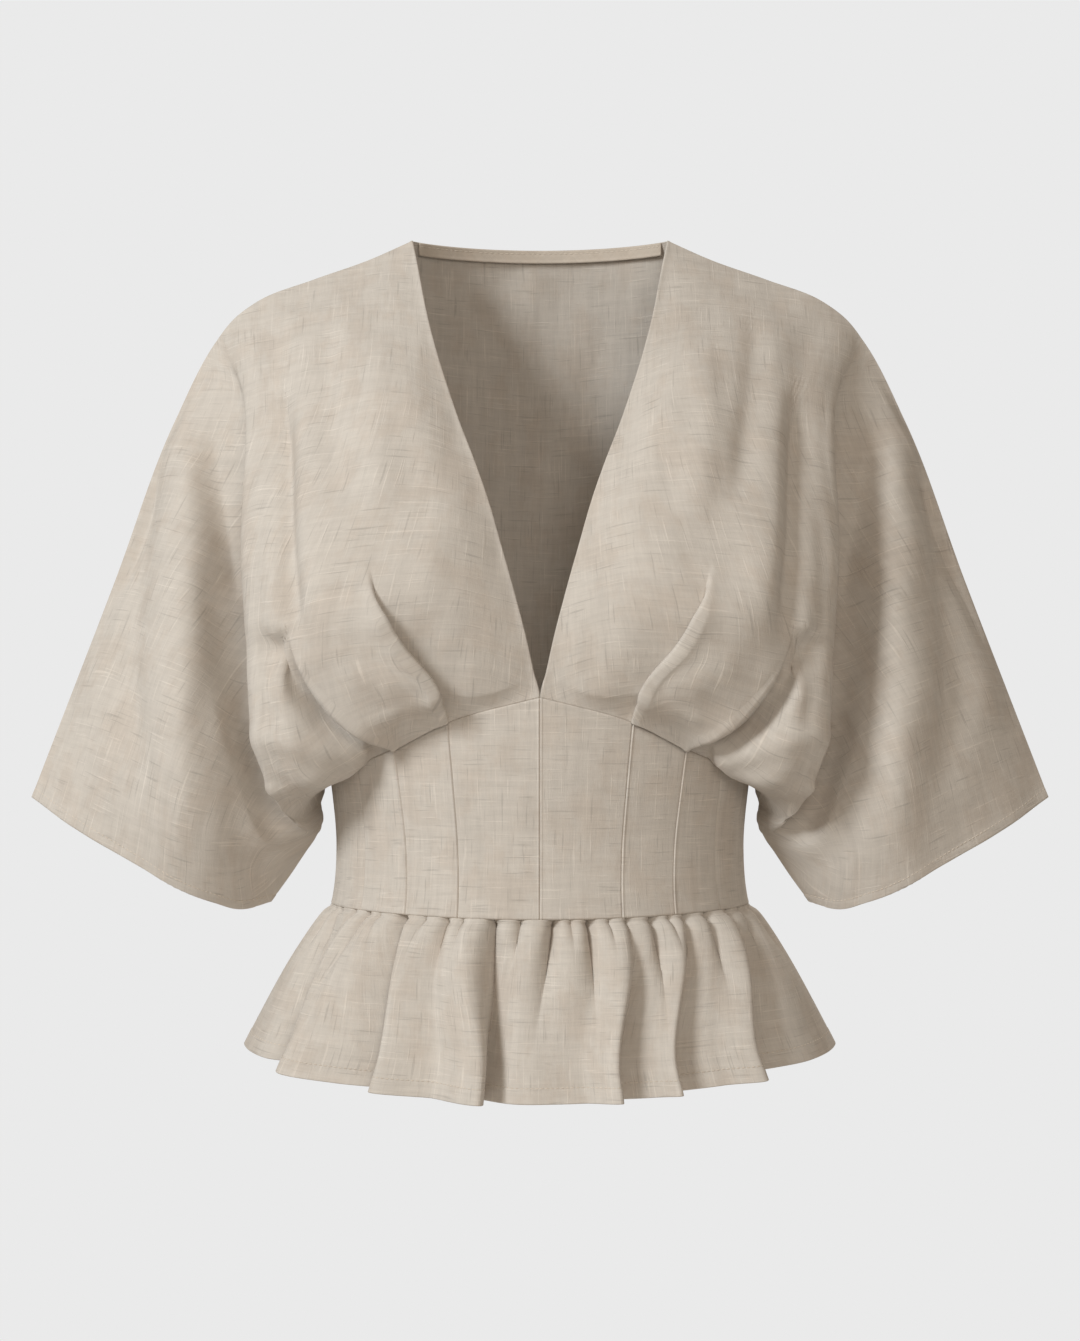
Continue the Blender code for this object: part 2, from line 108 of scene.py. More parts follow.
NECK_DEPTH = 40.0
NECK_FULLNESS = 0.8  # the power that makes the back neck's curve flat at the bottom
print("seams:", len(OVERARM), "points over the arm and", len(UNDERARM), "under it")

# %% [markdown]
# ## Ribs
# A rib is a line of the cloth as it hangs, from the overarm seam down to the waist or underarm seam.
# Six points give each rib, and a dozen ribs give a whole front with its sleeve. The body's fold hangs
# in front of the sleeve, so the ribs of its edge and of the valley behind it double back in x.

# %% The ribs of the front and the back
RIB_KNOTS = (0.0, 0.25, 0.5, 0.78, 0.93, 1.0)
FRONT_RIBS = (
    Rib("neck_edge", 0, (66, -63, -82), (34.5, -98, -172), (12.5, -104, -250), (3.5, -100, -287), 0.15),
    Rib("front", 38, (89, -73, -88), (67, -114, -180), (45, -117, -258), (32, -102, -298), 12.5),
    Rib("pleat_1", 72, (120, -77, -100), (109, -119, -212), (90, -115, -268), (66, -102, -299), 24.4),
    Rib("bust", 95, (144, -71, -104), (140, -115, -214), (118, -114, -276), (86, -103, -302), 33),
    Rib("pleat_2", 112, (162, -63, -110), (167, -101, -212), (146, -100, -288), (105, -84, -321), 41.8),
    Rib("under_pleat", 122, (174, -57, -114), (180, -87, -224), (153, -88, -347), (124, -64, -347), 62),
    Rib("side", 130, (183, -51, -117), (186, -77, -232), (166, -78, -350), (146, -38, -360), 90, 0),
    Rib("drape_edge", 138, (189, -46, -121), (187, -69, -236), (174, -70, -351), (158, -31, -377), None, 22),
    Rib("turn_back", 146, (188, -38, -124), (180, -55, -238), (169, -53, -355), (155, -22, -384), None, 31),
    Rib("valley", 165, (200, -24, -130), (172, -25, -244), (163, -24, -354), (154, -12, -388), None, 38),
    Rib("arm_inner", 190, (215, -23, -155), (194, -31, -252), (180, -30, -351), (165, -17, -393), None, 46),
    Rib("arm_front", 260, (248, -25, -201), (223, -49, -273), (195, -48, -353), (174, -26, -399), None, 58),
    Rib("arm_middle", 370, (283, -24, -285), (248, -53, -336), (207, -48, -391), (182, -20, -414), None, 76),
    Rib("cuff", 472, (307, -21, -384), (262, -38, -409), (213, -31, -434), (191, -11, -439), None, 98),
)
BACK_RIBS = (
    Rib("centre_back", -84, (0, 66, -75), (0, 87, -180), (0, 90, -280), (0, 87, -330), 180),
    Rib("back_neck", -40, (44, 66, -77), (46, 90, -180), (44, 95, -286), (42, 85, -333), 160),
    Rib("neck_point", 0, (90, 58, -86), (90, 91, -186), (84, 98, -298), (79, 76, -339), 143),
    Rib("shoulder_blade", 72, (132, 54, -98), (131, 86, -196), (119, 93, -314), (107, 61, -345), 126),
    Rib("side_back", 112, (166, 43, -110), (167, 73, -212), (149, 77, -345), (130, 42, -350), 107),
    Rib("side", 130, (184, 35, -119), (186, 59, -230), (164, 57, -357), (145, 28, -362), 90, 0),
    Rib("drape_edge", 138, (191, 28, -122), (189, 47, -236), (172, 47, -358), (157, 26, -377), None, 22),
    Rib("valley", 165, (204, 19, -128), (183, 27, -242), (169, 25, -354), (156, 14, -387), None, 38),
    Rib("arm_inner", 190, (217, 23, -153), (200, 34, -251), (184, 34, -350), (167, 18, -393), None, 46),
    Rib("arm_back", 260, (249, 28, -203), (224, 42, -275), (194, 40, -355), (173, 18, -399), None, 58),
    Rib("arm_middle", 370, (284, 26, -286), (249, 41, -338), (206, 36, -392), (181, 15, -414), None, 76),
    Rib("cuff", 472, (307, 25, -384), (262, 38, -408), (213, 30, -433), (191, 11, -438), None, 98),
)
print("ribs:", len(FRONT_RIBS), "on a front and", len(BACK_RIBS), "on half the back")

# %% [markdown]
# ## Smooth curves
# A cubic through all points keeps a drawn line's character without overshooting far. At each knot the
# slope is that of the parabola through the knot and its two neighbours, which copes with uneven steps.

# %% Curves
def spline(knots, values, at):
    """Cubic pieces through the values, joined with the slopes of parabolas through three knots."""
    knots = np.asarray(knots, float)
    values = np.asarray(values, float)
    at = np.clip(np.asarray(at, float), knots[0], knots[-1])
    shape = (-1,) + (1,) * (values.ndim - 1)
    steps = np.diff(knots).reshape(shape)
    chords = np.diff(values, axis=0) / steps
    slopes = np.concatenate([chords[:1], chords[:1], chords[1:]])
    slopes[1:-1] = (chords[:-1] * steps[1:] + chords[1:] * steps[:-1]) / (steps[:-1] + steps[1:])
    left = np.clip(np.searchsorted(knots, at, side="right") - 1, 0, len(knots) - 2)
    step = steps[left]
    t = (at - knots[left]).reshape(shape) / step
    return (
        values[left] * (1 + 2 * t) * (1 - t) ** 2
        + slopes[left] * step * t * (1 - t) ** 2
        + values[left + 1] * t**2 * (3 - 2 * t)
        + slopes[left + 1] * step * t**2 * (t - 1)
    )


def smooth_step(t):
    """0 below 0, 1 above 1, and an S-shaped rise between: 3t² - 2t³."""
    t = np.clip(t, 0, 1)
    return t * t * (3 - 2 * t)


def unit(vectors):
    return vectors / np.maximum(np.linalg.norm(vectors, axis=-1, keepdims=True), 1e-9)


# %% Points on the body and on the seams
def along(points, distance):
    places = np.array([point[1:] for point in points], float)
    knots = np.concatenate([[0], np.cumsum(np.linalg.norm(np.diff(places, axis=0), axis=1))])
    return spline(knots, places, distance)


def body_point(turn, z):
    """Points of the body's ellipse at a turn from the front, in degrees, and a height."""
    turn, z = np.broadcast_arrays(np.asarray(turn, float), np.asarray(z, float))
    heights = [level.z for level in LEVELS][::-1]
    size = spline(heights, [level[2:] for level in LEVELS][::-1], z.ravel()).reshape(z.shape + (3,))
    angle = np.radians(turn)
    depth = np.where(np.cos(angle) > 0, size[..., 1], size[..., 2])
    return np.stack([size[..., 0] * np.sin(angle), -depth * np.cos(angle), z], axis=-1)


def waist_seam(turn):
    """The height of the waist seam at a turn, the same on both sides."""
    turn = np.abs((np.asarray(turn, float) + 180) % 360 - 180)
    heights = spline([seam.turn for seam in WAIST_SEAM], [seam.z for seam in WAIST_SEAM], turn.ravel())
    return heights.reshape(turn.shape)


def peplum_seam(turn):
    """The height of the seam over the peplum: its mean less a cosine of twice the turn."""
    return PEPLUM_SEAM[0] - PEPLUM_SEAM[1] * np.cos(np.radians(2 * np.asarray(turn, float)))


def top_edge(shoulder):
    """The overarm seam, or below 0 the back neck: a flat-bottomed curve between the neck points."""
    neck_x = OVERARM[0].x + np.minimum(shoulder, 0)
    share = (1 - (neck_x / OVERARM[0].x) ** 2) ** NECK_FULLNESS
    neck = np.stack([neck_x, NECK_DEPTH * share, -NECK_DROP * share], axis=-1)
    return np.where(shoulder[:, None] < 0, neck, along(OVERARM, np.maximum(shoulder, 0)))


# %% [markdown]
# ## From ribs to a sheet
# The sheet is smoothed twice: down each rib, and then across the ribs. Its top and bottom rows are put
# exactly on the seams, so that two pieces which share a seam meet along it. The move of the top row fades
# out over the first fifth of the rows, so that the neck edge stays smooth.

# %% The sheet through the ribs
SEAM_STAND = 5.0  # mm that the cloth rises straight from the waist seam
STAND_LEAN = 0.5  # mm that it leans out on the way
STAND_ROW = 0.965  # the place on a rib where it is half way to that line
STAND_END = (0.8, 0.7)  # ribs past the side where it no longer stands, and over how many it fades
TOP_BLEND = 0.2  # share of the rows over which the move of the top row fades out


def cloth_grid(ribs, across, down):
    """A grid of points: across is the rib index of each column, down the place on the rib of each row."""
    side = [rib.name for rib in ribs].index("side")
    index = np.arange(len(ribs))
    turns = [rib.turn for rib in ribs[: side + 1]]
    unders = [rib.underarm for rib in ribs[side:]]
    shoulders = [rib.shoulder for rib in ribs]

    def edges(at):
        waist = np.interp(at, index[: side + 1], turns)
        foot = body_point(waist, waist_seam(waist))
        arm = along(UNDERARM, np.interp(at, index[side:], unders))
        return top_edge(np.interp(at, index, shoulders)), np.where(at[:, None] <= side, foot, arm)

    tops, feet = edges(index.astype(float))
    keys = np.array([[top, *rib[2:6], foot] for rib, top, foot in zip(ribs, tops, feet)], float)
    gaps = np.linalg.norm(np.diff(keys, axis=0), axis=2).mean(axis=1)
    knots = np.concatenate([[0], np.cumsum(gaps)])
    rows = np.stack([spline(RIB_KNOTS, key, down) for key in keys])
    grid = spline(knots, rows, np.interp(across, index, knots))
    top, foot = edges(across)
    near_top = 1 - smooth_step(down / TOP_BLEND)
    grid += (top - grid[:, 0])[:, None] * near_top[None, :, None]
    grid[:, 0], grid[:, -1] = top, foot
    return stand_at_seam(grid, across, down, side)


def stand_at_seam(grid, across, down, side):
    """Near the waist seam the cloth goes over to a line that rises straight from it."""
    share = smooth_step((side + STAND_END[0] - across) / STAND_END[1])[:, None]
    outwards = unit(grid[:, -1] * np.array([1.0, 1.0, 0.0]))
    stand = grid[:, -1] + outwards * STAND_LEAN + np.array([0, 0, SEAM_STAND])
    start = 2 * STAND_ROW - 1
    rising = down > start
    t = ((down[rising] - start) / (1 - start))[None, :, None]
    row = np.argmax(rising) - 1
    upper = grid[:, row : row + 1]
    curve = upper * (1 - t) ** 2 + 2 * stand[:, None] * t * (1 - t) + grid[:, -1:] * t**2
    grid[:, rising] = grid[:, rising] * (1 - share[..., None]) + curve * share[..., None]
    return grid


def normals(grid):
    """Unit normals on the outer side: the direction down the rows crossed with that across."""
    return unit(np.cross(np.gradient(grid, axis=1), np.gradient(grid, axis=0)))


def run_across(grid):
    """Distance in mm along each row from the first column."""
    steps = np.linalg.norm(np.diff(grid, axis=0), axis=2)
    return np.concatenate([np.zeros((1, grid.shape[1])), np.cumsum(steps, axis=0)])


def run_down(grid):
    """Distance in mm down each column from the first row."""
    return run_across(grid.transpose(1, 0, 2)).T


def mirrored(grid):
    """The other side's grid: x turned round, and the columns too, so that it still faces outwards."""
    return grid[::-1] * np.array([-1.0, 1.0, 1.0])


# %% [markdown]
# ## Pleats and soft folds
# Two knife pleats start in the waist seam and die out over the bust. Across a pleat the cloth steps up
# by a sine over a narrow band and leans over its lower side, and then sinks back slowly. The soft
# folds are longer: each follows a bowed line in the front view and has a steep and a gentle side.

# %% The fold tables of a front
PLEATS = (
    Pleat("pleat_1", 11.0, 3.2, 6.0, (-0.86, 0.51), 22.0, 0.50, 0.70, 0.90, 0.45),
    Pleat("pleat_2", -12.0, 3.6, 6.5, (0.59, -0.80), 20.0, 0.64, 0.86, 0.88, 0.40),
)
CREASES = (
    Crease("side_trough", (166, -90), (163, -185), (151, -282), 8, 12, -12),
    Crease("pleat_hollow", (173, -254), (156, -290), (104, -336), 11, 9, -12),
    Crease("pouch_ridge", (186, -322), (146, -331), (96, -342), 9, 9, 5),
    Crease("pouch_edge", (192, -354), (150, -357), (98, -339), 5, 5, 3),
    Crease("seam_edge", (56, -291), (84, -303), (112, -310), 5, 4, 2),
    Crease("shoulder_trough", (140, -50), (134, -115), (122, -190), 9, 12, -4),
    Crease("chest_ridge", (108, -60), (104, -130), (98, -205), 14, 10, 3),
    Crease("drape_lip", (190, -90), (185, -240), (170, -400), 5, 5, 3),
    Crease("sleeve_ridge", (230, -90), (230, -235), (234, -440), 12, 17, 7),
    Crease("sleeve_trough", (222, -110), (205, -185), (195, -245), 9, 12, -7),
    Crease("inner_trough", (192, -150), (192, -300), (180, -450), 16, 20, -5),
    Crease("outer_trough", (246, -130), (268, -245), (256, -385), 12, 15, -7),
)
BODY_CREASES = 8  # the first eight lie on the body, the others on the sleeve
PLEAT_STEEPNESS = 1.7  # how much faster than its band a pleat's step rises
LINE_POINTS = 201  # points on a fold's line
FADE_GAIN = 1.3  # keeps a fold at its full height along most of its line


def fold_pleats(grid, out, across, down, names):
    """Each pleat's step along the normal, and its lean, in the front view, towards its lower side. The
    lean grows as the square of the pleat's strength, so that a pleat opens before it turns over. The
    normals are those of the sheet without its soft folds."""
    folded = grid.copy()
    run = run_across(grid)
    for pleat in PLEATS:
        index = names.index(pleat.rib)
        here = np.array([np.interp(index, across, run[:, row]) for row in range(run.shape[1])])
        away = (run - here) * np.sign(pleat.rise)
        strength = smooth_step((down - pleat.start) / (pleat.full - pleat.start))
        strength *= 1 - (1 - pleat.at_seam) * smooth_step((down - pleat.ease) / (1 - pleat.ease))
        step = np.clip(away / pleat.band, -1, 1)
        rounded = np.sin(np.clip(step * PLEAT_STEEPNESS, -1, 1) * math.pi / 2)
        height = abs(pleat.rise) * (1 + rounded) / 2
        height *= np.exp(-np.maximum(away - pleat.band, 0) / pleat.reach)
        lean = pleat.overhang * np.sin(step * math.pi) * strength**2
        towards = np.array([pleat.towards[0], 0, pleat.towards[1]])
        folded += out * (height * strength)[..., None] + towards * lean[..., None]
    return folded


def fold_creases(grid, creases, mask):
    """Each fold's height is a bell across its line, narrower on one side, times a sine along it."""
    out = normals(grid)
    folded = grid.copy()
    for crease in creases:
        ends = np.array([crease.top, crease.middle, crease.foot], float)
        t = np.linspace(0, 1, LINE_POINTS)[:, None]
        line = ends[0] * (1 - t) * (1 - 2 * t) + ends[1] * 4 * t * (1 - t) + ends[2] * t * (2 * t - 1)
        course = np.gradient(line, axis=0)
        dx = np.abs(grid[..., 0])[..., None] - line[:, 0]
        dz = grid[..., 2][..., None] - line[:, 1]
        away = np.hypot(dx, dz)
        nearest = away.argmin(axis=2)
        away, dx, dz = (
            np.take_along_axis(part, nearest[..., None], axis=2)[..., 0] for part in (away, dx, dz)
        )
        outer = course[nearest, 0] * dz - course[nearest, 1] * dx > 0
        width = np.where(outer, crease.right, crease.left)
        fade = smooth_step(FADE_GAIN * np.sin(math.pi * t[nearest, 0]))
        folded += out * (crease.rise * fade * np.exp(-((away / width) ** 2)) * mask)[..., None]
    return folded


# %% [markdown]
# ## Cloth with two faces
# A sheet on screen needs a thickness where it ends. Each grid becomes a closed shell: an outer face, an
# inner face and a rim between them. Where a piece is sewn, its rim rolls inwards, so that two pieces
# meet in a shallow groove as pressed seams do; where it ends free, the rim is a round edge.

# %% The shell
RIM_ROUND = 0.35  # how far the rim's middle stands out, as a share of the cloth's thickness


def ring_index(columns, rows):
    """Grid indices once round the edge: down the first column, along the last row, up and back."""
    index = np.arange(columns * rows).reshape(columns, rows)
    return np.concatenate([index[0, :-1], index[:-1, -1], index[-1, :0:-1], index[:0:-1, 0]])


def seam_roll(grid, seams):
    """How far in each point lies from the outer face: at a seam, a quarter circle of that radius."""
    depth = np.zeros(grid.shape[:2])
    runs = {"first_column": run_across(grid), "first_row": run_down(grid)}
    runs["last_column"] = runs["first_column"][-1:] - runs["first_column"]
    runs["last_row"] = runs["first_row"][:, -1:] - runs["first_row"]
    for seam, reach in seams.items():
        near = np.clip(1 - runs[seam] / reach, 0, 1)
        depth = np.maximum(depth, reach * (1 - np.sqrt(1 - near**2)))
    return depth


def shell(name, grid, uv, seams, relief=0.0, inner=CLOTH_IN, outer=CLOTH_OUT):
    """A closed sheet: the grid moved out and in along its normals, with a rounded rim between."""
    columns, rows = grid.shape[:2]
    out = normals(grid)
    sink = seam_roll(grid, seams)
    top = grid + out * (outer + relief - sink)[..., None]
    low = grid + out * (inner + np.minimum(relief, 0) * 0.5 - sink)[..., None]
    ring = ring_index(columns, rows)
    count = columns * rows
    top, low = top.reshape(-1, 3), low.reshape(-1, 3)
    away = unit(rim_direction(grid)[ring])
    rim = (top[ring] + low[ring]) / 2 + away * (outer - inner) * RIM_ROUND
    points = np.concatenate([top, low, rim]) * MM
    index = np.arange(count).reshape(columns, rows)
    quads = np.stack([index[:-1, :-1], index[:-1, 1:], index[1:, 1:], index[1:, :-1]], -1).reshape(-1, 4)
    after = np.roll(ring, -1)
    rim_at = np.arange(len(ring)) + 2 * count
    rim_after = np.roll(rim_at, -1)
    sides = np.concatenate([
        np.stack([ring, rim_at, rim_after, after], -1),
        np.stack([rim_at, ring + count, after + count, rim_after], -1),
    ])
    faces = np.concatenate([quads, quads[:, ::-1] + count, sides])
    uv = uv.reshape(-1, 2)
    print(name, "faces:", len(faces))
    return cloth_object(name, points, faces, np.concatenate([uv, uv, uv[ring]]) * MM)


def rim_direction(grid):
    """Out of the sheet at its edge, along the cloth: away from the row or column inside it."""
    away = np.zeros_like(grid)
    away[0] += unit(grid[0] - grid[1])
    away[-1] += unit(grid[-1] - grid[-2])
    away[:, 0] += unit(grid[:, 0] - grid[:, 1])
    away[:, -1] += unit(grid[:, -1] - grid[:, -2])
    return away.reshape(-1, 3)


def cloth_object(name, points, faces, uv):
    mesh = bpy.data.meshes.new(name)
    mesh.from_pydata(points.tolist(), [], faces.tolist())
    layer = mesh.uv_layers.new(name="cloth")
    corner = np.empty(len(mesh.loops), dtype=np.int32)
    mesh.loops.foreach_get("vertex_index", corner)
    layer.data.foreach_set("uv", uv[corner].ravel())
    mesh.shade_smooth()
    piece = bpy.data.objects.new(name, mesh)
    scene.collection.objects.link(piece)
    return piece


# %% [markdown]
# ## The fronts
# Columns are crowded where a pleat steps, and rows at the seams, because the roll there is only a
# millimetre wide. Cloth is never quite smooth, so a few long waves in different directions are added.

# %% Where the grid is fine
RIB_END_ROWS = (0.0, 0.0012, 0.0026, 0.0045)
EVEN_ROWS_START = 0.009
END_COLUMNS = (0.012, 0.03, 0.05)  # rib places of the columns close to both ends
FINE_PLACES = 6000  # where the spacing of the columns is worked out
DENSE_WIDTH = 0.16  # in ribs, the width of a crowd of columns, and how much closer they are there
DENSE_BOOST = 4.0
DRAPE_TURN = 7.2  # the rib place where the loose fold turns back


def close_rows(count):
    """Even rows from 0 to 1 with a few more close to both ends."""
    ends = np.array(RIB_END_ROWS)
    return np.concatenate([ends, np.linspace(EVEN_ROWS_START, 1 - EVEN_ROWS_START, count), 1 - ends[::-1]])


def rib_columns(ribs, count, dense=()):
    """Rib indices of the columns: equal steps in mm across the ribs, and smaller ones at the pleats."""
    index = np.arange(len(ribs))
    places = np.array([np.concatenate([rib.chest, rib.bust, rib.hang]) for rib in ribs], float)
    gaps = np.linalg.norm(np.diff(places, axis=0), axis=1) / math.sqrt(3)
    fine = np.linspace(0, len(ribs) - 1, FINE_PLACES)
    rate = gaps[np.minimum(fine.astype(int), len(gaps) - 1)]
    crowds = sum(np.exp(-(((fine - place) / DENSE_WIDTH) ** 2)) for place in dense)
    rate = rate * (1 + DENSE_BOOST * crowds)
    total = np.concatenate([[0], np.cumsum((rate[1:] + rate[:-1]) / 2)])
    across = np.interp(np.linspace(0, total[-1], count), total, fine)
    ends = np.array(END_COLUMNS)
    return np.unique(np.concatenate([across, ends, index[-1] - ends]))


WAVES = (  # radians per mm in x, y and z, the phase, and the rise in mm
    ((0.081, 0.013, 0.042), 0.4, 0.55),
    ((0.112, 0.031, -0.058), 1.9, 0.35),
    ((-0.173, 0.052, 0.066), 3.1, 0.20),
    ((0.259, -0.047, 0.088), 4.4, 0.10),
)


def clear_of_seams(down, top, foot):
    """0 at both ends of the rows and 1 between, with a smooth rise over these shares of the rows."""
    return smooth_step((1 - down) / foot) * smooth_step(down / top)


def unrest(grid, strength):
    """Moves the cloth along its normals by a sum of long waves: height = sum of a sin(k . p + phase)."""
    height = sum(rise * np.sin(grid @ np.array(wave) + phase) for wave, phase, rise in WAVES)
    return grid + normals(grid) * (height * strength)[..., None]


SLEEVE_GRAIN = math.radians(19)
GRAIN_PIVOT = np.array([190.0, -150.0])
UV_PLACE = {"back": 700, "neck_band": 400, "waist": 1100, "waist_back": 1900, "peplum": 2600}
PANEL_APART = 150  # mm between the waist panels on the cloth


def bodice_uv(grid, across, ribs):
    """Threads of a piece laid flat: a rib starts at its point of the top edge and runs straight, as
    long as it is, the way it goes in the front view. On the sleeve the grain is turned by 19 degrees."""
    side = [rib.name for rib in ribs].index("side")
    front_view = grid[..., ::2]
    course = unit(front_view[:, -1] - front_view[:, 0])
    flat = front_view[:, :1] + run_down(grid)[..., None] * course[:, None]
    turn = SLEEVE_GRAIN * smooth_step((across - side - 1) / 2.0)[:, None]
    x, z = (flat - GRAIN_PIVOT).transpose(2, 0, 1)
    u = x * np.cos(turn) + z * np.sin(turn) + GRAIN_PIVOT[0]
    v = x * np.sin(turn) - z * np.cos(turn) - GRAIN_PIVOT[1]
    return np.stack([u, v], axis=-1)


# %% The front on the wearer's left, and its mirror image
names = [rib.name for rib in FRONT_RIBS]
crowded = [names.index(pleat.rib) for pleat in PLEATS] + [DRAPE_TURN]
across = rib_columns(FRONT_RIBS, count=200, dense=crowded)
down = close_rows(count=150)
front = cloth_grid(FRONT_RIBS, across, down)
front_uv = bodice_uv(front, across, FRONT_RIBS)
front_out = normals(front)
above_seam = clear_of_seams(down, 0.06, 0.04)
body_mask = smooth_step(names.index("turn_back") - across)[:, None] * above_seam
sleeve_mask = smooth_step((across - names.index("turn_back")) / 1.2)[:, None] * above_seam
front = fold_creases(front, CREASES[:BODY_CREASES], body_mask)
front = fold_creases(front, CREASES[BODY_CREASES:], sleeve_mask)
front = unrest(front, above_seam)
front = fold_pleats(front, front_out, across, down, names)
print("front:", front.shape[0], "columns and", front.shape[1], "rows")

# %% [markdown]
# ## The relief of hems and edges
# The V edge is turned in and pressed, so it ends in a narrow rounded fold. A cuff's hem is a second
# layer inside: outside it shows as a faint step where the stitching pulls the cloth in.

# %% Relief
def ridge(distance, at, width, rise):
    """A rounded ridge, or a groove with a negative rise, at a distance from an edge."""
    return rise * np.exp(-(((distance - at) / width) ** 2))


def hem_relief(distance, width, rise=0.25, groove=0.22):
    """A hem stands a little proud up to its stitching, with a groove along the stitches."""
    proud = rise * smooth_step((width - distance) / 1.2)
    return proud + ridge(distance, width, 0.7, -groove)


def front_relief(grid):
    """The pressed V edge along the first column and the cuff's hem along the last."""
    to_edge = run_across(grid)
    to_cuff = to_edge[-1:] - to_edge
    return ridge(to_edge, 0.8, 1.3, 0.35) + hem_relief(to_cuff, CUFF_HEM)


BODICE_SEAMS = {"first_row": SHOULDER_TURN, "last_row": SEAM_TURN}
relief = front_relief(front)
bodice_left = shell("front_left", front, front_uv, BODICE_SEAMS, relief)
right = mirrored(front)
bodice_right = shell("front_right", right, front_uv[::-1] * [-1, 1], BODICE_SEAMS, relief[::-1])

# %% [markdown]
# ## The back
# The back is a single piece. Half of it is worked out like a front, without pleats, and the other half is
# its mirror image. A narrow bias band is turned in along the back neck and stitched down.

# %% The back
BACK_CREASES = (
    Crease("waist_fold", (30, -262), (36, -300), (47, -338), 10, 14, 5),
    Crease("side_fold", (92, -255), (86, -296), (76, -336), 13, 9, 6),
    Crease("blade_trough", (128, -120), (120, -190), (102, -262), 14, 17, -5),
    Crease("side_trough", (160, -165), (157, -225), (140, -290), 11, 14, -6),
    Crease("sleeve_ridge", (232, -110), (237, -210), (238, -340), 14, 15, 5),
    Crease("sleeve_trough", (214, -140), (211, -225), (203, -290), 10, 12, -6),
    Crease("outer_trough", (256, -150), (274, -235), (274, -320), 10, 12, -4),
)
BACK_BODY_CREASES = 4

names = [rib.name for rib in BACK_RIBS]
across = rib_columns(BACK_RIBS, count=130)
down = close_rows(count=118)
half = cloth_grid(BACK_RIBS, across, down)
half_uv = bodice_uv(half, across, BACK_RIBS)
half, half_uv, across = half[::-1], half_uv[::-1], across[::-1]
above_seam = clear_of_seams(down, 0.06, 0.1)
body_mask = smooth_step(names.index("drape_edge") - across)[:, None] * above_seam
sleeve_mask = smooth_step(across - names.index("valley"))[:, None] * above_seam
half = fold_creases(half, BACK_CREASES[:BACK_BODY_CREASES], body_mask)
half = fold_creases(half, BACK_CREASES[BACK_BODY_CREASES:], sleeve_mask)
back = np.concatenate([half, mirrored(half)[1:]])
back_uv = np.concatenate([half_uv, half_uv[-2::-1] * [-1, 1]]) + [UV_PLACE["back"], 0]
to_cuff = run_across(back)
to_cuff = np.minimum(to_cuff, to_cuff[-1:] - to_cuff)
back = unrest(back, above_seam)
bodice_back = shell("back", back, back_uv, BODICE_SEAMS, hem_relief(to_cuff, CUFF_HEM))

# %% The neck band
BAND_ROWS = 14
BAND_END = 1.5  # mm from the neck point to the end of the band
BAND_FALL = (0.35, 0.65)  # shares of the cloth's own direction and of straight down
BAND_STITCH = 1.9  # mm from the band's top to its stitches
BAND_CLOTH = 0.95
BIAS = np.array([[0.7, 0.7], [-0.7, 0.7]])  # turns the threads by 45 degrees


def neck_band(back):
    """A strip that starts at the top of the back and hangs 8 mm down inside it, more upright than the
    cloth near the neck points, turned to face the neck."""
    strip = back[np.abs(back[:, 0, 0]) < OVERARM[0].x - BAND_END]
    rows = np.argmax(run_down(strip)[0] > BAND_WIDTH)
    course = unit(strip[:, rows] - strip[:, 0])
    course = unit(course * BAND_FALL[0] - np.array([0, 0, BAND_FALL[1]]))
    widths = np.linspace(0, BAND_WIDTH, BAND_ROWS)[None, :, None]
    return (strip[:, :1] + course[:, None] * widths)[::-1]


band = neck_band(back)
to_top = run_down(band)
band_uv = np.stack([run_across(band), to_top], axis=-1) @ BIAS + UV_PLACE["neck_band"]
relief = ridge(to_top, BAND_WIDTH - 0.8, 0.7, 0.3) + ridge(to_top, BAND_STITCH, 0.6, -0.15)
neck_binding = shell("neck_binding", band, band_uv, {}, relief, inner=0.0, outer=BAND_CLOTH)

# %% [markdown]
# ## The waist
# Each panel is part of the body's surface between two panel seams. Welts along the seams, where four
# layers lie under the face, catch the light as narrow ridges.

# %% Waist panels
WAIST_RADIUS = 115  # mm, which turns an angle into a width of cloth
PANEL_EDGES = (0.01, 0.02, 0.035, 0.965, 0.98, 0.99)  # shares of the columns close to the seams
WELTS = {"top": (1.1, 0.6, 0.6), "side": (1.0, 0.45, 0.45), "foot": (1.4, 0.8, 0.3)}


def waist_panel(first, last, columns, rows=70):
    """A panel between two panel seams, each given as its turn at the top and at the peplum."""
    share = np.unique(np.concatenate([np.linspace(0, 1, columns), PANEL_EDGES]))[:, None]
    down = close_rows(rows)[None, :]
    top = first[0] + (last[0] - first[0]) * share
    foot = first[1] + (last[1] - first[1]) * share
    turn = top + (foot - top) * down
    z = waist_seam(turn) * (1 - down) + peplum_seam(turn) * down
    grid = body_point(turn, z)
    return grid, np.stack([np.radians(turn) * WAIST_RADIUS, -z], axis=-1)


def waist_relief(grid):
    """Welts along the top, the foot and the first column, which is the seam nearer the front."""
    to_top = run_down(grid)
    to_foot = to_top[:, -1:] - to_top
    welts = ridge(run_across(grid), *WELTS["side"]) + ridge(to_top, *WELTS["top"])
    return welts + ridge(to_foot, *WELTS["foot"])


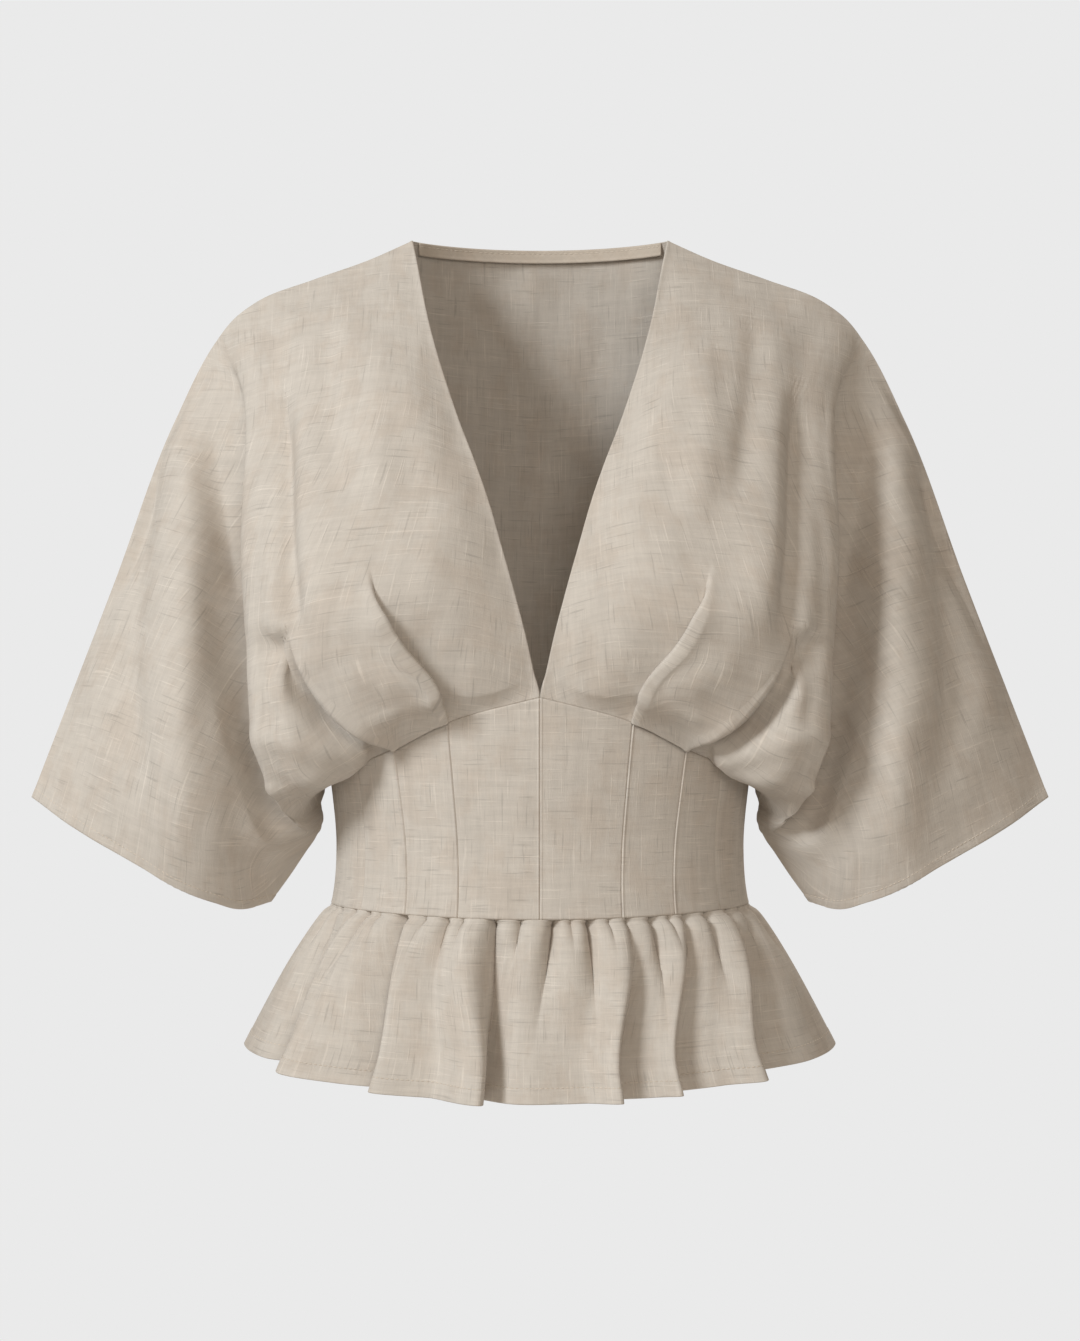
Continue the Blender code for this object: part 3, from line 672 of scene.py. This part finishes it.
WAIST_SEAMS = {"first_row": 0.4, "last_row": 0.7, "first_column": 0.5, "last_column": 0.6}
MIRRORED_SEAMS = dict(WAIST_SEAMS, first_column=0.6, last_column=0.5)
waist_pieces = {}
for panel, first, last, columns in (
    ("centre", "centre", "inner", 56),
    ("front", "inner", "outer", 40),
    ("side", "outer", "side", 40),
):
    grid, uv = waist_panel(PANEL_TURNS[first], PANEL_TURNS[last], columns)
    uv = uv + [UV_PLACE["waist"] + PANEL_APART * len(waist_pieces), 0]
    relief = waist_relief(grid)
    waist_pieces[f"waist_{panel}_left"] = shell(f"{panel}_panel_left", grid, uv, WAIST_SEAMS, relief)
    waist_pieces[f"waist_{panel}_right"] = shell(
        f"{panel}_panel_right", mirrored(grid), uv[::-1] * [-1, 1], MIRRORED_SEAMS, relief[::-1],
    )
far_side = tuple(360 - turn for turn in PANEL_TURNS["side"])
grid, uv = waist_panel(PANEL_TURNS["side"], far_side, 200, 60)
uv = uv + [UV_PLACE["waist_back"], 0]
waist_pieces["waist_back"] = shell("back_panel", grid, uv, WAIST_SEAMS, waist_relief(grid))

# %% [markdown]
# ## The peplum
# Two dozen small gathers come out of each half of the waist seam and merge into a few large
# folds. Each row of the fold table is a line of the cloth: where it starts in the seam, the turn that
# it reaches at the hem, and how far it stands out or sinks there.

# %% The peplum's folds
GATHERS = 24
Pucker = namedtuple("Pucker", "place depth length drift")
PUCKERS = [Pucker(*row) for row in (
    (0.9, 2.5, 0.25, -0.2), (1.8, 3.0, 0.30, -0.3), (2.6, 5.0, 0.45, -0.9), (3.9, 3.5, 0.22, -0.4),
    (4.8, 6.0, 0.60, -0.6), (5.5, 2.5, 0.16, 0.0), (6.67, 10.0, 0.80, 0.1), (7.7, 3.0, 0.18, -0.3),
    (8.56, 5.0, 0.30, -0.3), (9.2, 3.0, 0.16, -0.1), (10.3, 9.0, 0.75, 0.1), (11.3, 5.0, 0.28, -0.5),
    (12.5, 8.0, 0.50, -0.9), (13.1, 2.5, 0.14, 0.2), (13.76, 8.0, 0.60, 0.4), (14.5, 3.0, 0.16, 0.1),
    (15.2, 4.0, 0.26, -0.1), (16.2, 7.0, 0.60, 0.6), (16.95, 3.0, 0.16, 0.2), (17.71, 5.0, 0.30, 0.1),
    (18.85, 6.0, 0.50, 0.4), (20.3, 6.5, 0.60, 0.3), (21.5, 4.0, 0.36, 0.5), (22.6, 3.0, 0.28, 0.2),
)]
PUFF = 4.2  # mm that the cloth springs out between the puckers
PUFF_FADE = 0.36
PEPLUM_FOLDS = [Fold(*row) for row in (
    (0, -90, 0), (2, -64, 3), (3.5, -54.5, -11), (4, -52, 13), (5.5, -38.5, 8),
    (6.5, -27, -15), (7, -29.5, 10), (8.5, -19.5, 1), (10, -9.5, 14), (10.5, -12, -10),
    (11.5, -4, 3), (12.5, 2.5, 1), (13.5, 8, 1), (15, 13.2, 11), (15.5, 12.5, -10),
    (16, 20, 0), (17, 24.5, 9), (17.5, 24.5, -8), (18.5, 35, 0), (20, 42.5, 11),
    (20.5, 44, -9), (22, 61, 3), (24, 90, 0),
)]
PEPLUM_DROP = {"front": 112.0, "side": 91.0, "back": 104.0}
PEPLUM_FLARE = {"front": 46.0, "side": 56.0, "back": 50.0}
FLARE_START = 0.03
FLARE_POWER = 0.8
COLUMNS_PER_GATHER = 20
END_PLACES = (0.02, 0.045)  # in gathers, the columns close to the side seams
SIDE_FADE = 0.7  # in gathers, where the puff fades out at the side seams
TURN_SPEED = 1.15  # a line of the cloth reaches its turn a little above the hem
FOLD_SPEED = 1.1  # a large fold is whole a little above the hem
PUFF_RISE = (0.15, 0.07)  # its share in the seam, and how soon it is whole
VALLEY_GAIN = 2.2  # how much deeper than its table a pucker is, because its valley is narrow
VALLEY_WIDTH = (0.15, 0.8)  # in gathers, in the seam and added by the hem
VALLEY_ROUND = 0.005  # keeps its bottom from being a crack
VALLEY_RISE = (0.45, 0.04)  # its share in the seam, and how soon it is whole


def around(sizes, turn):
    """A size that changes smoothly from the front to the side to the back."""
    cosine = np.cos(np.radians(turn))
    end = np.where(cosine > 0, sizes["front"], sizes["back"])
    return sizes["side"] + (end - sizes["side"]) * cosine**2


def grown(t, share, reach):
    """A share at the seam that grows smoothly to 1 over the reach."""
    return share + (1 - share) * smooth_step(t / reach)


def peplum_grid(folds, puckers, middle):
    """Half of the peplum. Its radius is the body's plus a flare that grows as t to the power 0.8, the
    large folds, and a puff less the puckers: each is exp(-|p - place| / width), a sharp valley."""
    place = np.linspace(0, GATHERS, COLUMNS_PER_GATHER * GATHERS + 1)
    ends = np.array(END_PLACES)
    place = np.unique(np.concatenate([place, ends, GATHERS - ends]))
    lines = spline([fold.place for fold in folds], [fold[1:] for fold in folds], place)
    t = close_rows(count=64)[None, :]
    seam_turn = (place / GATHERS - 0.5)[:, None] * 180 + middle
    hem_turn = lines[:, :1] + middle
    turn = seam_turn + (hem_turn - seam_turn) * smooth_step(t * TURN_SPEED)
    base = body_point(turn, peplum_seam(turn))
    out = unit(base * np.array([1.0, 1.0, 0.0]))
    puff = PUFF * np.exp(-t / PUFF_FADE) * grown(t, *PUFF_RISE)
    at_sides = smooth_step(np.minimum(place, GATHERS - place) / SIDE_FADE)[:, None]
    valleys = np.zeros_like(puff * at_sides)
    for pucker in puckers:
        away = np.abs(place[:, None] - pucker.place - pucker.drift * t)
        sharp = np.sqrt((away / (VALLEY_WIDTH[0] + VALLEY_WIDTH[1] * t)) ** 2 + VALLEY_ROUND)
        wedge = np.exp(-sharp - (t / pucker.length) ** 2) * grown(t, *VALLEY_RISE)
        valleys += VALLEY_GAIN * pucker.depth * wedge
    fall = np.maximum(t - FLARE_START, 0) / (1 - FLARE_START)
    folded = lines[:, 1:] * np.sin(np.minimum(t * FOLD_SPEED, 1) * math.pi / 2)
    spread = around(PEPLUM_FLARE, turn) * fall**FLARE_POWER + folded
    grid = base + out * (spread + (puff - valleys) * at_sides)[..., None]
    grid[..., 2] -= around(PEPLUM_DROP, turn) * t
    run = np.broadcast_to(run_across(grid).mean(axis=1)[:, None], grid.shape[:2])
    fallen = np.broadcast_to(run_down(grid).mean(axis=0), grid.shape[:2])
    return grid, np.stack([run, fallen], axis=-1)


# %% Both halves of the peplum
back_folds = [Fold(GATHERS - fold.place, -fold.hem_turn, fold.rise) for fold in PEPLUM_FOLDS[::-1]]
PEPLUM_SEAMS = {"first_row": 0.6, "first_column": 0.6, "last_column": 0.6}
peplum_pieces = {}
peplum_grids = {}
back_puckers = [pucker._replace(place=GATHERS - pucker.place, drift=-pucker.drift) for pucker in PUCKERS]
for name, folds, puckers, middle in (
    ("peplum_front", PEPLUM_FOLDS, PUCKERS, 0),
    ("peplum_back", back_folds, back_puckers, 180),
):
    grid, uv = peplum_grid(folds, puckers, middle)
    to_hem = run_down(grid)[:, -1:] - run_down(grid)
    relief = hem_relief(to_hem, HEM_WIDTH)
    uv = uv + [UV_PLACE["peplum"] + middle * 5, 0]
    peplum_pieces[name] = shell(name.replace("peplum", "skirt"), grid, uv, PEPLUM_SEAMS, relief)
    peplum_grids[name] = grid

# %% [markdown]
# ## Stitches
# A line of stitches is one mesh: a small capsule is worked out once, and copies of it are turned to
# follow the line. Each stitch keeps the cloth's own UV size, so its thread has the same weave colour.

# %% Stitch lines
STITCH_LEVEL = CLOTH_OUT - 0.1  # mm outside the grid, just under the cloth's outer face


def between(places, run, points):
    """Points at these places of the run along a line of points."""
    return np.stack([np.interp(places, run, points[:, axis]) for axis in range(3)], axis=-1)


def stitch_line(name, path, out, pitch=3.2, length=2.1, width=0.34, lift=0.12):
    """Capsules along a path. A capsule point is a cosine along the stitch and a circle round it."""
    steps = np.linalg.norm(np.diff(path, axis=0), axis=1)
    run = np.concatenate([[0], np.cumsum(steps)])
    places = np.arange(pitch / 2, run[-1] - pitch / 2, pitch)
    middle = between(places, run, path)
    forward = unit(between(places + 0.4, run, path) - middle)
    up = unit(between(places, run, out))
    side = np.cross(up, forward)
    rings = np.array([-1, -0.82, -0.4, 0.4, 0.82, 1])
    radius = np.array([0.25, 0.75, 1, 1, 0.75, 0.25])
    sides = len(radius)
    angle = np.arange(sides) * math.tau / sides
    x = np.repeat(rings, sides) * length / 2
    y = np.outer(radius, np.cos(angle)).ravel() * width
    z = np.outer(radius, np.sin(angle)).ravel() * width * 0.7 + lift
    points = (
        middle[:, None]
        + forward[:, None] * x[None, :, None]
        + side[:, None] * y[None, :, None]
        + up[:, None] * z[None, :, None]
    )
    index = np.arange(len(x)).reshape(len(rings), sides)
    after = np.roll(index, -1, axis=1)
    quads = np.stack([index[:-1], after[:-1], after[1:], index[1:]], -1).reshape(-1, 4)
    faces = (quads[None] + np.arange(len(places))[:, None, None] * len(x)).reshape(-1, 4)
    flat = points.reshape(-1, 3) * MM
    uv = np.stack([flat[:, 0] * 0.6 + flat[:, 1], flat[:, 2]], axis=-1)
    print(name, "stitches:", len(places))
    return cloth_object(name, flat, faces, uv)


def row_at(grid, distance, end="last"):
    """The line of points at a distance in mm from the last or first row, with its normals."""
    run = run_down(grid)
    target = run[:, -1] - distance if end == "last" else np.full(len(run), distance)
    path = np.array([between(*column) for column in zip(target, run, grid)])
    up = unit(np.array([between(*column) for column in zip(target, run, normals(grid))]))
    return path + up * STITCH_LEVEL, up


def column_at(grid, distance, end="last"):
    """The same from the last or first column. A turned grid's normals point in, so they are turned."""
    path, up = row_at(grid.transpose(1, 0, 2), distance, end)
    return path - 2 * up * STITCH_LEVEL, -up

# %% The lines of stitches
stitches = {}
for name, grid in peplum_grids.items():
    stitches[name] = [stitch_line(name.replace("peplum", "hem") + "_stitches", *row_at(grid, HEM_WIDTH))]
for name, grid, ends in (
    ("bodice_front_left", front, ("last",)),
    ("bodice_front_right", right, ("first",)),
    ("bodice_back", back, ("last", "first")),
):
    stitches[name] = [
        stitch_line(f"{name}_cuff_{end}", *column_at(grid, CUFF_HEM, end)) for end in ends
    ]
band_path, band_up = row_at(band, BAND_STITCH, "first")
stitches["neck_band"] = [
    stitch_line("neck_stitches", band_path - band_up * 0.3, band_up, pitch=3.6, length=2.4, width=0.3)
]

# %% [markdown]
# ## Linen
# Linen's look comes from uneven threads. Noise stretched along one direction gives streaks, and the
# brightest of them, kept by a steep ramp, are slubs. The same streaks, finer, are the weave's relief.

# %% The linen node group
THREAD_SHADE = 0.13
BAND_SHADE = 0.17
SLUB_LIGHT = 0.13
SLUB_DARK = -0.16


def node(tree, kind, **settings):
    made = tree.nodes.new(kind)
    for key, value in settings.items():
        setattr(made, key, value)
    return made


def maths(tree, operation, first, second=None, clamp=False):
    """A Math node on two sockets or numbers. Returns its output."""
    made = node(tree, "ShaderNodeMath", operation=operation, use_clamp=clamp)
    for place, value in enumerate((first, second)):
        if isinstance(value, (int, float)):
            made.inputs[place].default_value = value
        elif value is not None:
            tree.links.new(value, made.inputs[place])
    return made.outputs[0]


def streaks(tree, coordinates, across, along_thread, detail, roughness, shift=0.0):
    """Noise on the cloth's coordinates, with this many waves a metre in each direction."""
    mapping = node(tree, "ShaderNodeMapping")
    mapping.inputs["Scale"].default_value = (across, along_thread, 1)
    mapping.inputs["Location"].default_value = (shift, shift * 1.7, 0)
    tree.links.new(coordinates, mapping.inputs["Vector"])
    noise = node(tree, "ShaderNodeTexNoise", noise_dimensions="2D")
    noise.inputs["Scale"].default_value = 1.0
    noise.inputs["Detail"].default_value = detail
    noise.inputs["Roughness"].default_value = roughness
    tree.links.new(mapping.outputs["Vector"], noise.inputs["Vector"])
    return noise.outputs["Fac"]


def ramp_between(tree, value, low, high):
    """0 up to low, 1 from high on, and an S-shaped rise between."""
    made = node(tree, "ShaderNodeMapRange", interpolation_type="SMOOTHSTEP")
    tree.links.new(value, made.inputs["Value"])
    made.inputs["From Min"].default_value = low
    made.inputs["From Max"].default_value = high
    return made.outputs["Result"]


def linen_group():
    """Outputs a shade that multiplies the cloth's colour, a mask of browner patches, and the height."""
    group = bpy.data.node_groups.new("linen weave", "ShaderNodeTree")
    for name in ("Slubs", "Contrast"):
        made = group.interface.new_socket(name=name, in_out="INPUT", socket_type="NodeSocketFloat")
        made.default_value = 1.0
    for name in ("Shade", "Smudge", "Height"):
        group.interface.new_socket(name=name, in_out="OUTPUT", socket_type="NodeSocketFloat")
    given = node(group, "NodeGroupInput")
    result = node(group, "NodeGroupOutput")
    uv = node(group, "ShaderNodeUVMap", uv_map="cloth").outputs["UV"]
    warp = streaks(group, uv, 950, 70, 3.0, 0.6)
    weft = streaks(group, uv, 70, 950, 3.0, 0.6, 3.1)
    broad_warp = streaks(group, uv, 190, 14, 3.0, 0.55, 7.7)
    broad_weft = streaks(group, uv, 18, 210, 3.0, 0.55, 9.3)
    slub_warp = ramp_between(group, streaks(group, uv, 760, 24, 1.0, 0.4, 5.2), 0.69, 0.78)
    slub_weft = ramp_between(group, streaks(group, uv, 30, 760, 1.0, 0.4, 1.4), 0.69, 0.78)
    dark_warp = ramp_between(group, streaks(group, uv, 700, 34, 1.0, 0.4, 8.8), 0.70, 0.80)
    dark_weft = ramp_between(group, streaks(group, uv, 40, 700, 1.0, 0.4, 2.9), 0.69, 0.80)
    mottle = streaks(group, uv, 40, 26, 5.0, 0.68, 4.4)
    smudge = ramp_between(group, mottle, 0.42, 0.66)

    def add(first, second):
        return maths(group, "ADD", first, second)

    def times(first, second, clamp=False):
        return maths(group, "MULTIPLY", first, second, clamp)

    threads = add(warp, weft)
    slubs = times(maths(group, "MAXIMUM", slub_warp, slub_weft), given.outputs["Slubs"])
    dark = times(maths(group, "MAXIMUM", dark_warp, dark_weft), given.outputs["Slubs"])
    shade = times(add(threads, -1.0), THREAD_SHADE)
    shade = add(shade, times(add(add(broad_warp, broad_weft), -1.0), BAND_SHADE))
    shade = add(shade, times(slubs, SLUB_LIGHT))
    shade = add(shade, times(dark, SLUB_DARK))
    shade = add(times(shade, given.outputs["Contrast"]), 1.0)
    smudge = times(smudge, given.outputs["Contrast"], clamp=True)
    fine = streaks(group, uv, 1900, 260, 1.0, 0.5, 2.2)
    fine_weft = streaks(group, uv, 260, 1900, 1.0, 0.5, 6.6)
    height = times(add(times(threads, 0.5), add(fine, fine_weft)), 0.5)
    height = add(height, times(slubs, 0.7))
    for name, value in (("Shade", shade), ("Smudge", smudge), ("Height", height)):
        group.links.new(value, result.inputs[name])
    return group


# %% Materials
WEAVE = linen_group()
SMUDGE_TINT = (0.955, 0.93, 0.91)  # times the cloth's colour, in its browner patches


def linen_material(name, colour, slubs=1.0, contrast=1.0, bump=0.35):
    """The cloth's colour, browner in patches, times the weave's shade. Sockets 6 and 7 of a colour Mix
    are its colours A and B."""
    material = bpy.data.materials.new(name)
    material.use_nodes = True
    tree = material.node_tree
    shader = tree.nodes["Principled BSDF"]
    weave = node(tree, "ShaderNodeGroup", node_tree=WEAVE)
    weave.inputs["Slubs"].default_value = slubs
    weave.inputs["Contrast"].default_value = contrast
    patches = node(tree, "ShaderNodeMix", data_type="RGBA")
    patches.inputs[6].default_value = (*colour, 1.0)
    patches.inputs[7].default_value = (*(part * tint for part, tint in zip(colour, SMUDGE_TINT)), 1.0)
    tree.links.new(weave.outputs["Smudge"], patches.inputs["Factor"])
    tint = node(tree, "ShaderNodeMix", data_type="RGBA", blend_type="MULTIPLY")
    tint.inputs["Factor"].default_value = 1.0
    tree.links.new(patches.outputs[2], tint.inputs[6])
    tree.links.new(weave.outputs["Shade"], tint.inputs[7])
    tree.links.new(tint.outputs[2], shader.inputs["Base Color"])
    shader.inputs["Roughness"].default_value = 0.86
    shader.inputs["Specular IOR Level"].default_value = 0.22
    shader.inputs["Sheen Weight"].default_value = 0.12
    shader.inputs["Sheen Roughness"].default_value = 0.45
    shader.inputs["Sheen Tint"].default_value = (1.0, 0.95, 0.88, 1.0)
    relief = node(tree, "ShaderNodeBump")
    relief.inputs["Strength"].default_value = bump
    relief.inputs["Distance"].default_value = 0.0004
    tree.links.new(weave.outputs["Height"], relief.inputs["Height"])
    tree.links.new(relief.outputs["Normal"], shader.inputs["Normal"])
    return material


LINEN = linen_material("linen cloth", (0.562, 0.515, 0.462))
BAND_LINEN = linen_material("linen band", (0.53, 0.465, 0.395), slubs=0.3, contrast=0.7)
THREAD = linen_material("linen thread", (0.64, 0.57, 0.49), slubs=0.0, contrast=0.4, bump=0.1)

# %% [markdown]
# ## What each piece is in the cut
# Every piece is a sheet of cloth with a flat size: the width and length of the cloth that it is cut
# from, and its area where the cut isn't a rectangle.

# %% Pieces on the frame
Cut = namedtuple("Cut", "node piece width length area held")


def cut_area(grid):
    """Area in square metres of a grid's own surface."""
    across_step = np.diff(grid, axis=0)[:, :-1]
    down_step = np.diff(grid, axis=1)[:-1]
    return float(np.linalg.norm(np.cross(across_step, down_step), axis=2).sum()) * MM**2


for name, grid in {"front": front, "back": back, "band": band, **peplum_grids}.items():
    print(name, "has", round(cut_area(grid), 5), "square metres")

# %% [markdown]
# The flat sizes are those of the cloth that each piece is cut from, so a curved piece has a smaller
# area than its rectangle. Both sides of the waist are cut alike.

# %% The cuts
CUTS = [
    Cut("bodice_front_left", bodice_left, 0.50, 0.42, 0.125, "hung"),
    Cut("bodice_front_right", bodice_right, 0.50, 0.42, 0.125, "hung"),
    Cut("bodice_back", bodice_back, 0.98, 0.42, 0.25, "hung"),
    Cut("neck_band", neck_binding, 0.18, 0.01, None, "hung"),
]
for panel, width, length in (("centre", 0.058, 0.145), ("front", 0.040, 0.125), ("side", 0.038, 0.11)):
    for name in (f"waist_{panel}_left", f"waist_{panel}_right"):
        CUTS.append(Cut(name, waist_pieces[name], width, length, None, "hung"))
CUTS += [
    Cut("waist_back", waist_pieces["waist_back"], 0.45, 0.09, None, "hung"),
    Cut("peplum_front", peplum_pieces["peplum_front"], 0.66, 0.12, 0.075, "gathered"),
    Cut("peplum_back", peplum_pieces["peplum_back"], 0.66, 0.12, 0.071, "gathered"),
]
for cut in CUTS:
    slot = "linen_band" if cut.node == "neck_band" else "linen"
    cut.piece.data.materials.append(BAND_LINEN if slot == "linen_band" else LINEN)
    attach(cut.piece, "root")
    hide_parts(cut.node)
    for line in stitches.get(cut.node, []):
        line.data.materials.append(THREAD)
        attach(line, "root")
print("pieces on the frame:", len(CUTS), "and lines of stitches:", sum(map(len, stitches.values())))

# %% [markdown]
# ## Floor, light and camera
# The studio is pale and soft. A large lamp stands to the upper left in front, a weak one near the camera
# fills the folds, one behind lights the back, and the sky gives the rest. Rays from the camera see a flat
# pale grey instead of the sky.

# %% Floor
FLOOR_RADIUS = 1.2
FLOOR_LEVEL = -1.05
FLOOR_POINTS = 96
floor_mesh = bpy.data.meshes.new("floor")
angle = np.linspace(0, 2 * math.pi, FLOOR_POINTS, endpoint=False)
level = np.full(FLOOR_POINTS, FLOOR_LEVEL)
ring = np.stack([FLOOR_RADIUS * np.cos(angle), FLOOR_RADIUS * np.sin(angle), level], axis=-1)
floor_mesh.from_pydata(ring.tolist(), [], [list(range(FLOOR_POINTS))])
floor = bpy.data.objects.new("floor", floor_mesh)
scene.collection.objects.link(floor)
paint = bpy.data.materials.new("floor paint")
paint.use_nodes = True
paint.node_tree.nodes["Principled BSDF"].inputs["Base Color"].default_value = (0.66, 0.65, 0.64, 1.0)
paint.node_tree.nodes["Principled BSDF"].inputs["Roughness"].default_value = 0.9
floor_mesh.materials.append(paint)

# %% Lights
LAMPS = (
    ("key", (-2.15, -2.0, 1.2), 1.0, 76.0, (0.94, 0.98, 1.0)),
    ("fill", (0.3, -2.6, 0.3), 0.9, 16.0, (1.0, 0.92, 0.82)),
    ("back", (0.6, 2.2, 1.2), 1.6, 34.0, (1.0, 0.95, 0.88)),
)
AIM = Vector((0, 0, -0.27))
for name, place, size, power, colour in LAMPS:
    lamp = bpy.data.lights.new(name, "AREA")
    lamp.shape = "DISK"
    lamp.size = size
    lamp.energy = power
    lamp.color = colour
    stand = bpy.data.objects.new(name, lamp)
    stand.location = place
    stand.rotation_euler = (AIM - Vector(place)).to_track_quat("-Z", "Y").to_euler()
    scene.collection.objects.link(stand)

world = scene.world or bpy.data.worlds.new("studio")
scene.world = world
world.use_nodes = True
sky = world.node_tree
sky.nodes.clear()
paths = node(sky, "ShaderNodeLightPath")
seen = node(sky, "ShaderNodeBackground")
seen.inputs["Color"].default_value = (0.823, 0.823, 0.823, 1.0)
soft = node(sky, "ShaderNodeBackground")
soft.inputs["Color"].default_value = (1.0, 0.89, 0.76, 1.0)
soft.inputs["Strength"].default_value = 0.3
pick = node(sky, "ShaderNodeMixShader")
ending = node(sky, "ShaderNodeOutputWorld")
sky.links.new(paths.outputs["Is Camera Ray"], pick.inputs["Fac"])
sky.links.new(soft.outputs[0], pick.inputs[1])
sky.links.new(seen.outputs[0], pick.inputs[2])
sky.links.new(pick.outputs[0], ending.inputs["Surface"])

# %% Camera
DISTANCE = 2.5
EYE_LEVEL = -0.283
FRAME_WIDTH = 0.7128  # metres across the picture at the top's middle
camera_data = bpy.data.cameras.new("camera")
camera_data.sensor_fit = "HORIZONTAL"
camera_data.sensor_width = 36.0
camera_data.lens = camera_data.sensor_width * DISTANCE / FRAME_WIDTH
camera = bpy.data.objects.new("camera", camera_data)
camera.location = (0, -DISTANCE, EYE_LEVEL)
camera.rotation_euler = (math.pi / 2, 0, 0)
scene.collection.objects.link(camera)
scene.camera = camera
scene.view_settings.view_transform = "Standard"
